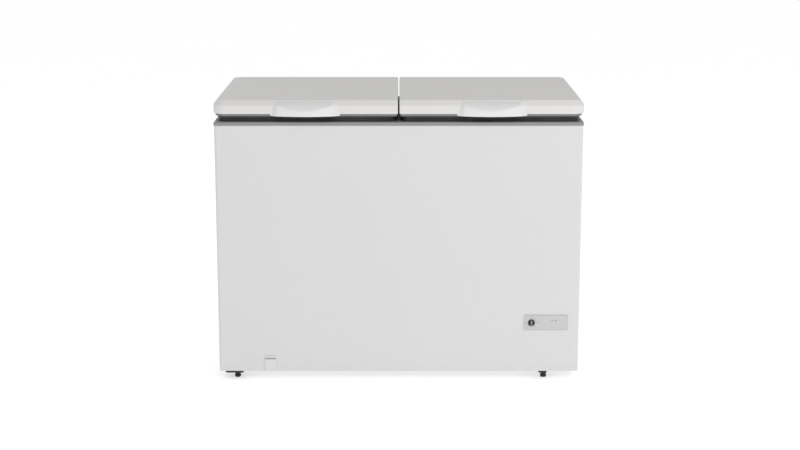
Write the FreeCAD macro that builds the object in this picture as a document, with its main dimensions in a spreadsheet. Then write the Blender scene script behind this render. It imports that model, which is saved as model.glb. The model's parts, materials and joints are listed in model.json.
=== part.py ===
import FreeCAD
import Part
import Sketcher
import math
import os
from types import SimpleNamespace

from FreeCAD import Vector

# Two-door chest freezer, in millimetres.
# +X is to the right of someone facing the front, +Y points to the back and +Z up.
# The origin lies on the floor, under the middle of the whole freezer.

SIZES = {
    # Cabinet
    "cabinet_width": 1112,
    "cabinet_depth": 590,
    "cabinet_height": 768,
    "base_height": 27,
    "cabinet_sheet": 0.8,
    "cabinet_corner": 9,
    "corner_relief": 1.5,
    "wall": 58,
    "floor_wall": 60,
    "liner_sheet": 1,
    "tank_corner": 30,
    # Compressor bay at the right end
    "bay_width": 250,
    "bay_height": 240,
    "bay_wall": 55,
    "tray_sheet": 1.5,
    "opening_left": 50,
    "opening_edge": 18,
    "grille_border": 12,
    "grille_sheet": 1.5,
    "slot_height": 6,
    "slot_pitch": 14,
    "vent_length": 190,
    "vent_height": 116,
    "vent_setback": 330,
    "vent_flange": 8,
    "vent_sheet": 1.5,
    "fit_gap": 0.3,
    # Collar and centre bar
    "collar_height": 11,
    "collar_lip": 1.5,
    "collar_round": 4,
    "skirt_drop": 12,
    "skirt_sheet": 2,
    "skirt_gap": 0.2,
    "bar_width": 64,
    "bar_height": 30,
    "bar_round": 6,
    # Lids
    "lid_gap": 4.6,
    "lid_overhang": 3,
    "lid_lift": 17,
    "trim_height": 7,
    "trim_inset": 6,
    "trim_seam_inset": 3,
    "trim_width": 38,
    "trim_corner": 3,
    "skin_height": 42,
    "skin_sheet": 0.9,
    "bevel_back": 11,
    "bevel_drop": 16,
    "lid_corner": 38,
    "lid_round": 4,
    "hem_round": 2.6,
    "hem_width": 14,
    "panel_sheet": 2,
    "plug_inset": 22,
    "plug_drop": 10,
    "plug_corner": 24,
    "foam_gap": 0.3,
    # Gaskets
    "gasket_inset": 14,
    "gasket_seam_inset": 6,
    "gasket_width": 20,
    "gasket_rest": 0.2,
    "gasket_foot": 3,
    "gasket_bulb": 7,
    "gasket_waist": 10,
    "dart_width": 4,
    "dart_height": 4.5,
    "dart_gap": 0.3,
    # Handles
    "handle_width": 211,
    "handle_reach": 24,
    "handle_end_reach": 5,
    "handle_drop": 5,
    "handle_lip": 11,
    "handle_crown": 4,
    "handle_slant": 8,
    "handle_wall": 3,
    "handle_rise": 11,
    # Hinges
    "hinge_spread": 340,
    "leaf_width": 60,
    "leaf_drop": 100,
    "leaf_sheet": 2.5,
    "knuckle_radius": 8,
    "knuckle_length": 10,
    "knuckle_gap": 0.5,
    "pin_radius": 4,
    "pin_gap": 0.05,
    "pin_head_radius": 5.5,
    "pin_head": 2,
    "spring_wire": 2,
    "spring_gap": 0.3,
    "spring_span": 15,
    "spring_foot": 11,
    "spring_tail": 28,
    "tab_width": 8,
    "tab_sheet": 2.5,
    "tab_drop": 24,
    "screw_spread": 40,
    "screw_first": 40,
    "screw_second": 85,
    "arm_margin": 2,
    # Screws
    "screw_radius": 2,
    "screw_head_radius": 4.2,
    "screw_head": 2.4,
    "screw_gap": 0.2,
    # Control panel and thermostat
    "panel_width": 134,
    "panel_height": 47,
    "panel_side_gap": 35,
    "panel_rise": 132,
    "panel_thick": 2.5,
    "panel_corner": 3,
    "frame_inset": 6,
    "frame_depth": 10,
    "frame_wall": 1.5,
    "dial_inset": 22,
    "dial_radius": 10.5,
    "dial_skirt": 3,
    "grip_radius": 8,
    "grip_height": 9,
    "flute_radius": 1.2,
    "stem_radius": 3,
    "stem_reach": 16,
    "stem_gap": 0.1,
    "bush_radius": 6,
    "bush_length": 12,
    "thermostat_width": 40,
    "thermostat_height": 34,
    "thermostat_depth": 26,
    "lens_radius": 2.5,
    "lens_inset": 86,
    "lens_pitch": 12,
    "lens_rise": 7,
    "lens_flange": 2,
    "lens_proud": 0.8,
    "bulb_radius": 3,
    "bulb_length": 48,
    "bulb_setback": 20,
    "sensor_tube": 1,
    # Drain
    "drain_from_left": 159,
    "drain_setback": 40,
    "drain_height": 49,
    "drain_rise": 21.75,
    "drain_width": 36,
    "cover_thick": 3,
    "cover_corner": 3,
    "cover_edge": 1,
    "finger_slot_width": 32,
    "finger_slot_height": 5,
    "finger_slot_drop": 6,
    "finger_slot_depth": 1.8,
    "hose_radius": 9,
    "hose_bore": 7,
    "hose_bend": 20,
    "hose_end": 3,
    "channel_gap": 4,
    "stub_reach": 14,
    "stub_gap": 0.4,
    "plug_head_radius": 16,
    "plug_head": 4,
    "plug_stem": 14,
    "plug_knob_radius": 6,
    "plug_knob": 14,
    # Feet
    "left_foot_inset": 54,
    "right_foot_inset": 105,
    "foot_setback": 30,
    "foot_radius": 9.5,
    "foot_thick": 9,
    "stud_radius": 5,
    "stud_gap": 0.1,
    "stud_top_gap": 1,
    "bracket_drop": 16,
    "bracket_plate": 7.5,
    "bracket_boss": 9,
    "bracket_depth": 50,
    "left_bracket_width": 55,
    "left_bracket_shift": 8,
    "right_bracket_width": 25,
    "right_bracket_shift": 4,
    # Cooling circuit
    "compressor_width": 150,
    "compressor_length": 190,
    "compressor_height": 155,
    "compressor_corner": 72,
    "compressor_dome": 45,
    "compressor_bowl": 25,
    "compressor_rear_gap": 165,
    "seam_rise": 45,
    "seam_thick": 5,
    "seam_reach": 4,
    "foot_plate_width": 172,
    "foot_plate_length": 236,
    "foot_plate_sheet": 3,
    "mount_width": 136,
    "mount_length": 196,
    "grommet_height": 14,
    "grommet_radius": 12,
    "grommet_neck": 8,
    "grommet_top": 4,
    "bolt_radius": 4,
    "bolt_head_radius": 8,
    "bolt_head": 5,
    "bolt_end": 4,
    "relay_width": 40,
    "relay_depth": 36,
    "relay_height": 50,
    "relay_clear": 2,
    "joint_gap": 0.2,
    "suction_radius": 4,
    "suction_rise": 105,
    "discharge_radius": 3,
    "discharge_rise": 78,
    "process_radius": 3,
    "process_rise": 32,
    "process_length": 60,
    "capillary_radius": 1,
    "drier_radius": 9,
    "drier_length": 100,
    "drier_cone": 14,
    "drier_setback": 60,
    "tube_gap": 0.2,
    "evaporator_radius": 4,
    "evaporator_pitch": 52,
    "evaporator_drop": 70,
    "chase_setback": 110,
    "chase_room": 16,
    "condenser_radius": 2.4,
    "condenser_pitch": 48,
    "condenser_drop": 75,
    "condenser_side": 60,
    "condenser_inlet_side": 30,
    # Cord gland
    "gland_radius": 9,
    "gland_flange": 13,
    "gland_sheet": 4,
    "gland_bore": 4,
    "gland_inset": 22,
    "gland_rise": 70,
}

EVAPORATOR_TURNS = 6
CONDENSER_ROWS = 8
SPRING_TURNS = 4
DIAL_FLUTES = 16

doc = FreeCAD.newDocument("ChestFreezer")
sheet = doc.addObject("Spreadsheet::Sheet", "Sizes")
for row, (alias, number) in enumerate(SIZES.items(), start=1):
    sheet.set(f"A{row}", alias)
    sheet.set(f"B{row}", str(number))
    sheet.setAlias(f"B{row}", alias)
doc.recompute()


class Size:
    """A length that carries its number and the sheet formula that gives it."""

    def __init__(self, number, text):
        self.number = float(number)
        self.text = text

    def __float__(self):
        return self.number

    def __add__(self, other):
        other = sized(other)
        return Size(self.number + other.number, f"({self.text} + {other.text})")

    def __sub__(self, other):
        other = sized(other)
        return Size(self.number - other.number, f"({self.text} - {other.text})")

    def __mul__(self, other):
        other = sized(other)
        return Size(self.number * other.number, f"({self.text} * {other.text})")

    def __truediv__(self, other):
        other = sized(other)
        return Size(self.number / other.number, f"({self.text} / {other.text})")

    def __radd__(self, other):
        return sized(other) + self

    def __rsub__(self, other):
        return sized(other) - self

    def __rmul__(self, other):
        return sized(other) * self

    def __neg__(self):
        return Size(-self.number, f"(-{self.text})")


def sized(value):
    return value if isinstance(value, Size) else Size(value, f"({float(value)!r})")


mm = SimpleNamespace(**{alias: Size(sheet.get(alias), f"Sizes.{alias}") for alias in SIZES})


# Places that several pieces share
coil_radius = mm.pin_radius + mm.spring_gap + mm.spring_wire / 2
axis_offset = coil_radius + mm.spring_wire / 2 + mm.spring_gap + mm.leaf_sheet
hinge_reach = axis_offset + mm.knuckle_radius
pull_reach = mm.lid_overhang + mm.handle_reach

half = mm.cabinet_width / 2
front = (pull_reach - mm.cabinet_depth - hinge_reach) / 2
back = front + mm.cabinet_depth
base = mm.base_height
rim = base + mm.cabinet_height
seal = rim + mm.collar_height

skin_x = half - mm.cabinet_sheet
skin_front = front + mm.cabinet_sheet
skin_back = back - mm.cabinet_sheet
relief_corner = mm.cabinet_corner + mm.corner_relief

tank_x = half - mm.wall
tank_front = front + mm.wall
tank_back = back - mm.wall
tank_floor = base + mm.floor_wall
bay_left = skin_x - mm.bay_width
bay_ceiling = base + mm.bay_height
step_x = bay_left - mm.bay_wall
step_floor = bay_ceiling + mm.bay_wall

lid_front = front - mm.lid_overhang
trim_bottom = seal + mm.lid_lift
skin_bottom = trim_bottom + mm.trim_height
lid_top = skin_bottom + mm.skin_height
fascia_top = lid_top - mm.bevel_drop
lid_centre = (half + mm.lid_overhang + mm.lid_gap / 2) / 2

axis_y = back + axis_offset
axis_z = trim_bottom - mm.spring_gap - mm.spring_wire / 2 - coil_radius
arm_foot = mm.knuckle_radius + 3 * mm.knuckle_gap
arm_top = fascia_top - mm.arm_margin - axis_z

panel_left = half - mm.panel_side_gap - mm.panel_width
panel_bottom = base + mm.panel_rise
dial_x = panel_left + mm.dial_inset
dial_z = panel_bottom + mm.panel_height / 2

drain_x = -half + mm.drain_from_left
drain_y = tank_front + mm.drain_setback
drain_z = base + mm.drain_rise

tray_top = base + mm.tray_sheet
plate_bottom = tray_top + mm.grommet_height
shell_bottom = plate_bottom + mm.foot_plate_sheet
compressor_x = bay_left + mm.bay_width / 2
compressor_y = back - mm.compressor_rear_gap
port_y = compressor_y - mm.compressor_length / 2 - mm.joint_gap

evaporator_out = mm.liner_sheet + mm.tube_gap + mm.evaporator_radius
evaporator_x = tank_x + evaporator_out
riser_x = evaporator_x + mm.chase_room
chase_y = back - mm.wall - mm.chase_setback
riser_y = chase_y + mm.chase_room / 2
outlet_y = chase_y - mm.chase_room / 2
evaporator_top = rim - mm.evaporator_drop
evaporator_fall = mm.evaporator_pitch * EVAPORATOR_TURNS
evaporator_bend = mm.tank_corner + evaporator_out
evaporator_band = evaporator_bend + mm.evaporator_radius + mm.tube_gap
condenser_room = mm.discharge_radius + mm.tube_gap
condenser_y = skin_front + condenser_room
condenser_x = half - mm.condenser_side
inlet_x = half - mm.condenser_inlet_side
drier_y = front + mm.drier_setback
bulb_y = tank_front + mm.bulb_setback

vent_y = front + mm.vent_setback
vent_z = base + mm.bay_height / 2
opening = (
    bay_left + mm.opening_left,
    base + mm.opening_edge,
    skin_x - mm.opening_edge,
    bay_ceiling - mm.opening_edge,
)
gland_x = bay_left + mm.gland_inset
gland_z = base + mm.gland_rise

sub_parts = []


# Drawing helpers


def bind(thing, name, value):
    thing.setExpression(name, sized(value).text)


def body(label):
    made = doc.addObject("PartDesign::Body", label)
    made.Label = label
    return made


def sub_part(thing):
    """Count an object as one of the freezer's pieces."""
    sub_parts.append(thing)
    return thing


def sketch(owner, role, level=0):
    """A sketch on one of the body's own planes, moved along X, Y or Z to a level."""
    drawing = owner.newObject("Sketcher::SketchObject", f"{owner.Label}_sketch")
    origin_plane = next(f for f in owner.Origin.OriginFeatures if f.Role == role)
    drawing.AttachmentSupport = [(origin_plane, "")]
    drawing.MapMode = "FlatFace"
    level = sized(level)
    bind(drawing, "AttachmentOffset.Base.z", -level if role == "XZ_Plane" else level)
    return drawing


def pin_point(drawing, geometry, end, x, y):
    """Hold one point of a sketch at a place measured from the sketch's origin."""
    for kind, value in (("DistanceX", x), ("DistanceY", y)):
        rule = Sketcher.Constraint(kind, -1, 1, geometry, end, float(value))
        bind(drawing, f"Constraints[{drawing.addConstraint(rule)}]", value)


def set_radius(drawing, geometry, radius):
    rule = Sketcher.Constraint("Radius", geometry, float(radius))
    bind(drawing, f"Constraints[{drawing.addConstraint(rule)}]", radius)


def along(value, length, sign):
    """A coordinate moved by a length to one side, to the other, or not at all."""
    if abs(sign) < 0.5:
        return value
    return value + length if sign > 0 else value - length


def heading(start, end):
    step = Vector(float(end[0]) - float(start[0]), float(end[1]) - float(start[1]), 0)
    return step.normalize()


def flat(point):
    return Vector(float(point[0]), float(point[1]), 0)


def angle_of(point, centre):
    return math.atan2(float(point[1]) - float(centre[1]), float(point[0]) - float(centre[0]))


def join_ends(drawing, first, first_end, second, second_end):
    drawing.addConstraint(Sketcher.Constraint("Coincident", first, first_end, second, second_end))


def outline(drawing, corners):
    """Draw a closed outline. A corner with a third value is rounded and has sides along X and Y."""
    corners = [tuple(sized(value) for value in corner) for corner in corners]
    count = len(corners)
    arrive, leave, centres, turns = [], [], [], []
    for place, corner in enumerate(corners):
        x, y = corner[:2]
        if len(corner) == 2:
            arrive.append((x, y))
            leave.append((x, y))
            centres.append(None)
            turns.append(0)
            continue
        radius = corner[2]
        into = heading(corners[place - 1], corner)
        out = heading(corner, corners[(place + 1) % count])
        arrive.append((along(x, radius, -into.x), along(y, radius, -into.y)))
        leave.append((along(x, radius, out.x), along(y, radius, out.y)))
        centres.append((along(arrive[-1][0], radius, out.x), along(arrive[-1][1], radius, out.y)))
        turns.append(into.x * out.y - into.y * out.x)
    lines = [
        drawing.addGeometry(Part.LineSegment(flat(leave[i]), flat(arrive[(i + 1) % count])))
        for i in range(count)
    ]
    for place in range(count):
        following = (place + 1) % count
        pin_point(drawing, lines[place], 1, *leave[place])
        if centres[following] is None:
            join_ends(drawing, lines[place], 2, lines[following], 1)
            continue
        pin_point(drawing, lines[place], 2, *arrive[following])
        ends = (arrive[following], leave[following])
        if turns[following] < 0:
            ends = (leave[following], arrive[following])
        centre = centres[following]
        circle_shape = Part.Circle(flat(centre), Vector(0, 0, 1), float(corners[following][2]))
        arc = Part.ArcOfCircle(circle_shape, angle_of(ends[0], centre), angle_of(ends[1], centre))
        bend = drawing.addGeometry(arc)
        first, second = (1, 2) if turns[following] > 0 else (2, 1)
        join_ends(drawing, lines[place], 2, bend, first)
        join_ends(drawing, bend, second, lines[following], 1)
        set_radius(drawing, bend, corners[following][2])
    return drawing


def circle(drawing, x, y, radius):
    x, y, radius = sized(x), sized(y), sized(radius)
    ring = drawing.addGeometry(Part.Circle(flat((x, y)), Vector(0, 0, 1), float(radius)))
    pin_point(drawing, ring, 3, x, y)
    set_radius(drawing, ring, radius)
    return drawing


def rectangle(x0, y0, x1, y1, radii=(None, None, None, None)):
    """Corners of a rectangle from its low corner round to its last, each sharp or rounded."""
    corners = ((x0, y0), (x1, y0), (x1, y1), (x0, y1))
    return [spot if r is None else (*spot, r) for spot, r in zip(corners, radii)]


def even(radius):
    return (radius, radius, radius, radius)


def pad(owner, drawing, length):
    feature = owner.newObject("PartDesign::Pad", f"{owner.Label}_pad")
    feature.Profile = drawing
    bind(feature, "Length", length)
    return feature


def pocket(owner, drawing, depth):
    """Cut a sketch into its body, away from the side that the sketch faces."""
    feature = owner.newObject("PartDesign::Pocket", f"{owner.Label}_pocket")
    feature.Profile = drawing
    bind(feature, "Length", depth)
    return feature


def revolve(owner, drawing):
    feature = owner.newObject("PartDesign::Revolution", f"{owner.Label}_revolution")
    feature.Profile = drawing
    feature.ReferenceAxis = (drawing, ["V_Axis"])
    feature.Angle = 360
    return feature


def edge_names(feature, wanted):
    doc.recompute()
    return [f"Edge{i}" for i, edge in enumerate(feature.Shape.Edges, start=1) if wanted(edge)]


def soften(owner, feature, wanted, radius):
    """Round the edges of the body's newest feature that pass a test."""
    names = edge_names(feature, wanted)
    fillet = owner.newObject("PartDesign::Fillet", f"{owner.Label}_fillet")
    fillet.Base = (feature, names)
    bind(fillet, "Radius", radius)
    return fillet


def repeat_up(owner, feature, drawing, count, pitch):
    """Repeat a cut up its sketch."""
    pattern = owner.newObject("PartDesign::LinearPattern", f"{owner.Label}_pattern")
    pattern.Originals = [feature]
    pattern.Direction = (drawing, ["V_Axis"])
    pattern.Occurrences = count
    bind(pattern, "Length", pitch * (count - 1))
    owner.Tip = pattern
    return pattern


def place(thing, x, y, z, turn=0):
    """Put an object at a place, tipped about X by some degrees."""
    thing.Placement = FreeCAD.Placement(Vector(), FreeCAD.Rotation(Vector(1, 0, 0), turn))
    for axis, value in zip("xyz", (x, y, z)):
        bind(thing, f"Placement.Base.{axis}", value)
    return thing


def group(label, master, spots, turn=0):
    """Copies of one piece at several places, as one node."""
    copies = []
    for spot in spots:
        copy = doc.addObject("App::Link", f"{label}_copy")
        copy.LinkedObject = master
        copies.append(place(copy, *spot, turn))
    made = doc.addObject("Part::Compound", label)
    made.Label = label
    made.Links = copies
    return sub_part(made)


def turned(label, points):
    """A body turned round its own Z axis from an outline of radius and height."""
    made = body(label)
    revolve(made, outline(sketch(made, "XZ_Plane"), points))
    return made


def prism(label, corners, level, height):
    """A body raised from an outline on the floor plan."""
    made = body(label)
    pad(made, outline(sketch(made, "XY_Plane", level), corners), height)
    return made


def point(x, y, z):
    return Vector(float(x), float(y), float(z))


def bent_path(points, bend):
    """Straight runs joined by tangent arcs of one radius."""
    edges = []
    start = points[0]
    for before, corner, after in zip(points, points[1:], points[2:]):
        back_way = (before - corner).normalize()
        on_way = (after - corner).normalize()
        turn = math.pi - back_way.getAngle(on_way)
        reach = bend * math.tan(turn / 2)
        first = corner + back_way * reach
        last = corner + on_way * reach
        inward = (back_way + on_way).normalize()
        middle = corner + inward * (bend / math.cos(turn / 2) - bend)
        if start.distanceToPoint(first) > 0.001:
            edges.append(Part.makeLine(start, first))
        edges.append(Part.Arc(first, middle, last).toShape())
        start = last
    edges.append(Part.makeLine(start, points[-1]))
    return Part.Wire(edges)


def wire_solid(path, radius):
    """A round wire or tube along a path."""
    start = path.Edges[0]
    ring = Part.makeCircle(radius, start.valueAt(start.FirstParameter), start.tangentAt(start.FirstParameter))
    return path.makePipeShell([Part.Wire([ring])], True, False)


def shaped(label, shape):
    made = doc.addObject("Part::Feature", label)
    made.Label = label
    made.Shape = shape
    return made


def tube(label, points, radius, bend):
    path = bent_path([point(*spot) for spot in points], float(bend))
    solid = wire_solid(path, float(radius))
    wanted = math.pi * float(radius) ** 2 * path.Length
    ratio = solid.Volume / wanted
    print(f"{label}: length {path.Length:.0f}, bend {float(bend):.1f}, volume ratio {ratio:.4f}")
    return sub_part(shaped(label, solid))


# Hinge places: two behind each lid
def hinge_places(side):
    return [side * lid_centre - mm.hinge_spread / 2, side * lid_centre + mm.hinge_spread / 2]


hinges = hinge_places(-1) + hinge_places(1)
leaf_screw_spots = [
    (x + across * mm.screw_spread / 2, axis_z - drop)
    for x in hinges
    for drop in (mm.screw_first, mm.screw_second)
    for across in (-1, 1)
]
arm_screw_z = axis_z + (arm_foot + arm_top) / 2


def arm_screw_spots(side):
    return [
        (x + across * mm.screw_spread / 2, arm_screw_z)
        for x in hinge_places(side)
        for across in (-1, 1)
    ]


grille_screw_spots = [
    (x, z)
    for x in (opening[0] - mm.grille_border / 2, opening[2] + mm.grille_border / 2)
    for z in (opening[1] - mm.grille_border / 2, opening[3] + mm.grille_border / 2)
]


# Cabinet sheets


def cabinet_wrap():
    wrap = body("cabinet_wrap")
    corner = mm.cabinet_corner
    plan = rectangle(-half, front, half, back, (corner, corner, None, None))
    pad(wrap, outline(sketch(wrap, "XY_Plane", base), plan), mm.cabinet_height)
    inner = corner - mm.cabinet_sheet
    hollow = rectangle(-skin_x, skin_front, skin_x, back + mm.cabinet_sheet, (inner, inner, None, None))
    pocket(wrap, outline(sketch(wrap, "XY_Plane", rim), hollow), mm.cabinet_height)
    face = sketch(wrap, "XZ_Plane", front)
    inset = mm.frame_inset - mm.fit_gap
    outline(face, rectangle(
        panel_left + inset,
        panel_bottom + inset,
        panel_left + mm.panel_width - inset,
        panel_bottom + mm.panel_height - inset,
    ))
    circle(face, drain_x, drain_z, mm.hose_radius + mm.fit_gap)
    pocket(wrap, face, mm.cabinet_sheet)
    side = sketch(wrap, "YZ_Plane", half)
    outline(side, vent_corners(mm.fit_gap))
    pocket(wrap, side, mm.cabinet_sheet)
    return sub_part(wrap)


def vent_corners(grow):
    return rectangle(
        vent_y - mm.vent_length / 2 - grow,
        vent_z - mm.vent_height / 2 - grow,
        vent_y + mm.vent_length / 2 + grow,
        vent_z + mm.vent_height / 2 + grow,
    )


def rear_panel():
    panel = body("rear_panel")
    face = outline(sketch(panel, "XZ_Plane", back), rectangle(-skin_x, base, skin_x, rim))
    pad(panel, face, mm.cabinet_sheet)
    holes = sketch(panel, "XZ_Plane", skin_back)
    outline(holes, rectangle(*opening))
    circle(holes, gland_x, gland_z, mm.gland_radius + mm.fit_gap)
    for x, z in leaf_screw_spots + grille_screw_spots:
        circle(holes, x, z, mm.screw_radius + mm.screw_gap)
    pocket(panel, holes, mm.cabinet_sheet)
    return sub_part(panel)


def floor_panel():
    right = bay_left - mm.cabinet_sheet
    plan = rectangle(-skin_x, skin_front, right, skin_back, (relief_corner, None, None, None))
    return sub_part(prism("floor_panel", plan, base, mm.cabinet_sheet))


def bay_panel():
    """The wall and the ceiling of the compressor bay, one folded sheet."""
    panel = body("bay_panel")
    wall_x = bay_left - mm.cabinet_sheet
    fold = [
        (wall_x, base),
        (bay_left, base),
        (bay_left, bay_ceiling),
        (skin_x, bay_ceiling),
        (skin_x, bay_ceiling + mm.cabinet_sheet),
        (wall_x, bay_ceiling + mm.cabinet_sheet),
    ]
    pad(panel, outline(sketch(panel, "XZ_Plane", skin_back), fold), skin_back - skin_front)
    holes = sketch(panel, "XY_Plane", bay_ceiling + mm.cabinet_sheet)
    outline(holes, chase_plan())
    circle(holes, dial_x, bulb_y, mm.bulb_radius + mm.fit_gap)
    outline(holes, condenser_notch())
    pocket(panel, holes, mm.cabinet_sheet)
    soften(panel, panel.Tip, is_front_right, relief_corner)
    return sub_part(panel)


def is_front_right(edge):
    """True for the upright edge at the front right corner."""
    box = edge.BoundBox
    return box.XMin > float(skin_x) - 0.01 and box.YMax < float(skin_front) + 0.01 and box.ZLength > 0.1


def chase_plan():
    """Plan of the shaft that takes the evaporator's ends down to the bay."""
    return rectangle(
        tank_x + mm.liner_sheet,
        chase_y - mm.chase_room,
        riser_x + mm.chase_room / 2,
        chase_y + mm.chase_room,
    )


def branch_plan():
    """Plan of the groove that takes the evaporator's first run from the shaft to the tank wall."""
    return rectangle(
        tank_x + mm.liner_sheet,
        riser_y - 6 * evaporator_bend,
        riser_x + mm.chase_room / 2,
        chase_y + mm.chase_room,
    )


def condenser_notch():
    """Plan of the slot behind the front that the condenser's ends pass."""
    side = condenser_room
    return rectangle(condenser_x - side, skin_front, inlet_x + side, skin_front + 2 * side)


def tray():
    made = body("compressor_tray")
    plan = rectangle(bay_left, skin_front, skin_x, skin_back, (None, relief_corner, None, None))
    pad(made, outline(sketch(made, "XY_Plane", base), plan), mm.tray_sheet)
    holes = sketch(made, "XY_Plane", tray_top)
    for x, y in mount_spots():
        circle(holes, x, y, mm.bolt_radius + mm.fit_gap)
    pocket(made, holes, mm.tray_sheet)
    return sub_part(made)


# Tank and foam


def tank_plan(grow, right):
    corner = mm.tank_corner + grow
    return rectangle(-tank_x - grow, tank_front - grow, right + grow, tank_back + grow, even(corner))


def inner_liner():
    liner = body("inner_liner")
    grow = mm.liner_sheet
    low = tank_floor - grow
    pad(liner, outline(sketch(liner, "XY_Plane", low), tank_plan(grow, step_x)), rim - low)
    high = step_floor - grow
    pad(liner, outline(sketch(liner, "XY_Plane", high), tank_plan(grow, tank_x)), rim - high)
    flange = rectangle(-skin_x, skin_front, skin_x, skin_back, (relief_corner, relief_corner, None, None))
    pad(liner, outline(sketch(liner, "XY_Plane", rim - grow), flange), grow)
    pocket(liner, outline(sketch(liner, "XY_Plane", rim), tank_plan(sized(0), step_x)), rim - tank_floor)
    pocket(liner, outline(sketch(liner, "XY_Plane", rim), tank_plan(sized(0), tank_x)), rim - step_floor)
    pocket(liner, circle(sketch(liner, "XY_Plane", tank_floor), drain_x, drain_y, mm.hose_bore), grow)
    return sub_part(liner)


def foam_insulation():
    foam = body("foam_insulation")
    low = base + mm.cabinet_sheet
    high = rim - mm.liner_sheet
    grow = mm.liner_sheet
    plan = rectangle(-skin_x, skin_front, skin_x, skin_back, (relief_corner, relief_corner, None, None))
    pad(foam, outline(sketch(foam, "XY_Plane", low), plan), high - low)
    bay_top = bay_ceiling + mm.cabinet_sheet
    bay = rectangle(bay_left - mm.cabinet_sheet, front, half, back)
    pocket(foam, outline(sketch(foam, "XY_Plane", bay_top), bay), mm.bay_height)
    pocket(foam, outline(sketch(foam, "XY_Plane", high), tank_plan(grow, step_x)), high - tank_floor + grow)
    pocket(foam, outline(sketch(foam, "XY_Plane", high), tank_plan(grow, tank_x)), high - step_floor + grow)
    reach = grow + 2 * (mm.evaporator_radius + mm.tube_gap)
    band_top = evaporator_top + evaporator_band
    band = outline(sketch(foam, "XY_Plane", band_top), tank_plan(reach, tank_x))
    pocket(foam, band, evaporator_fall + 2 * evaporator_band)
    pocket(foam, outline(sketch(foam, "XY_Plane", band_top), chase_plan()), band_top - bay_top)
    branch_room = mm.evaporator_radius + mm.tube_gap
    branch = outline(sketch(foam, "XY_Plane", evaporator_top + branch_room), branch_plan())
    pocket(foam, branch, 2 * branch_room + evaporator_bend)
    recess = sketch(foam, "XZ_Plane", skin_front)
    edge = condenser_room
    top_row = rim - mm.condenser_drop
    last_row = top_row - mm.condenser_pitch * (CONDENSER_ROWS - 1)
    under = last_row - mm.condenser_pitch / 2
    outline(recess, [
        (-condenser_x - edge, under),
        (condenser_x - edge, under),
        (condenser_x - edge, bay_top),
        (inlet_x + edge, bay_top),
        (inlet_x + edge, top_row + edge),
        (-condenser_x - edge, top_row + edge),
    ])
    pocket(foam, recess, 2 * edge)
    bulb_hole = circle(sketch(foam, "XY_Plane", step_floor), dial_x, bulb_y, mm.bulb_radius + mm.fit_gap)
    pocket(foam, bulb_hole, mm.bay_wall)
    side = mm.hose_radius + mm.channel_gap
    channel = rectangle(drain_x - side, skin_front, drain_x + side, drain_y + side)
    pocket(foam, outline(sketch(foam, "XY_Plane", tank_floor), channel), mm.floor_wall)
    return sub_part(foam)


# Collar and centre bar


def top_collar():
    collar = body("top_collar")
    lip = mm.collar_lip
    corner = mm.cabinet_corner + lip
    plan = rectangle(-half - lip, front - lip, half + lip, back, (corner, corner, None, None))
    ring = pad(collar, outline(sketch(collar, "XY_Plane", rim), plan), mm.collar_height)
    soften(collar, ring, is_collar_edge, mm.collar_round)
    skirt = outline(sketch(collar, "XY_Plane", rim - mm.skirt_drop), tank_plan(-mm.skirt_gap, tank_x))
    pad(collar, skirt, mm.skirt_drop)
    mouth = tank_plan(-mm.skirt_gap - mm.skirt_sheet, tank_x)
    pocket(collar, outline(sketch(collar, "XY_Plane", seal), mouth), mm.collar_height + mm.skirt_drop)
    return sub_part(collar)


def is_collar_edge(edge):
    """True for the collar's top edges at the front and the sides."""
    box = edge.BoundBox
    return box.ZMin > float(seal) - 0.01 and box.YMin < float(back) - 0.01


def centre_bar():
    """The bar from front to back that both lids close on."""
    bar = body("centre_bar")
    inner = mm.wall + mm.skirt_gap + mm.skirt_sheet
    side = mm.bar_width / 2
    low = seal - mm.bar_height
    profile = rectangle(-side, low, side, seal, (mm.bar_round, mm.bar_round, None, None))
    pad(bar, outline(sketch(bar, "XZ_Plane", back - inner), profile), mm.cabinet_depth - 2 * inner)
    return sub_part(bar)


# Lids: side is -1 for the left one and 1 for the right one


def lid_plan(side, inset, seam_inset=None, seam_corner=None):
    """A lid's outline, drawn in by one inset at the outer edges and another at the gap."""
    seam_inset = inset if seam_inset is None else seam_inset
    outer = half + mm.lid_overhang - inset
    seam = mm.lid_gap / 2 + seam_inset
    corner = mm.lid_corner - inset
    front_y = lid_front + inset
    back_y = back - inset
    if side < 0:
        return rectangle(-outer, front_y, -seam, back_y, (corner, seam_corner, seam_corner, corner))
    return rectangle(seam, front_y, outer, back_y, (seam_corner, corner, corner, seam_corner))


def lid_block(label, side, inset):
    """The lid's outer shape, bevelled all round but at the gap, or the same drawn in by an inset."""
    inset = sized(inset)
    made = body(label)
    low = skin_bottom + inset
    high = lid_top - inset
    raised = pad(made, outline(sketch(made, "XY_Plane", low), lid_plan(side, inset)), high - low)
    top = float(high)
    crease = float(high - mm.bevel_drop)
    seam_x = side * float(mm.lid_gap / 2 + inset)

    def on_seam(edge):
        box = edge.BoundBox
        return abs(box.XMin - seam_x) < 0.01 and abs(box.XMax - seam_x) < 0.01

    def at_outside(edge):
        return edge.BoundBox.ZMin > top - 0.01 and not on_seam(edge)

    bevel = made.newObject("PartDesign::Chamfer", f"{label}_bevel")
    bevel.Base = (raised, edge_names(raised, at_outside))
    bevel.ChamferType = "Two distances"
    bind(bevel, "Size", mm.bevel_drop)
    bind(bevel, "Size2", mm.bevel_back)

    def wanted(edge):
        box = edge.BoundBox
        level = box.ZLength < 0.01
        rim_line = level and box.ZMin > top - 0.01
        crease_line = level and abs(box.ZMin - crease) < 0.01
        return rim_line or crease_line or (on_seam(edge) and box.ZMax > float(low) + 0.01)

    rounded = soften(made, bevel, wanted, mm.lid_round - inset)
    foot = float(low)
    soften(made, rounded, lambda edge: edge.BoundBox.ZMax < foot + 0.01, mm.hem_round - inset)
    return made


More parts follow.
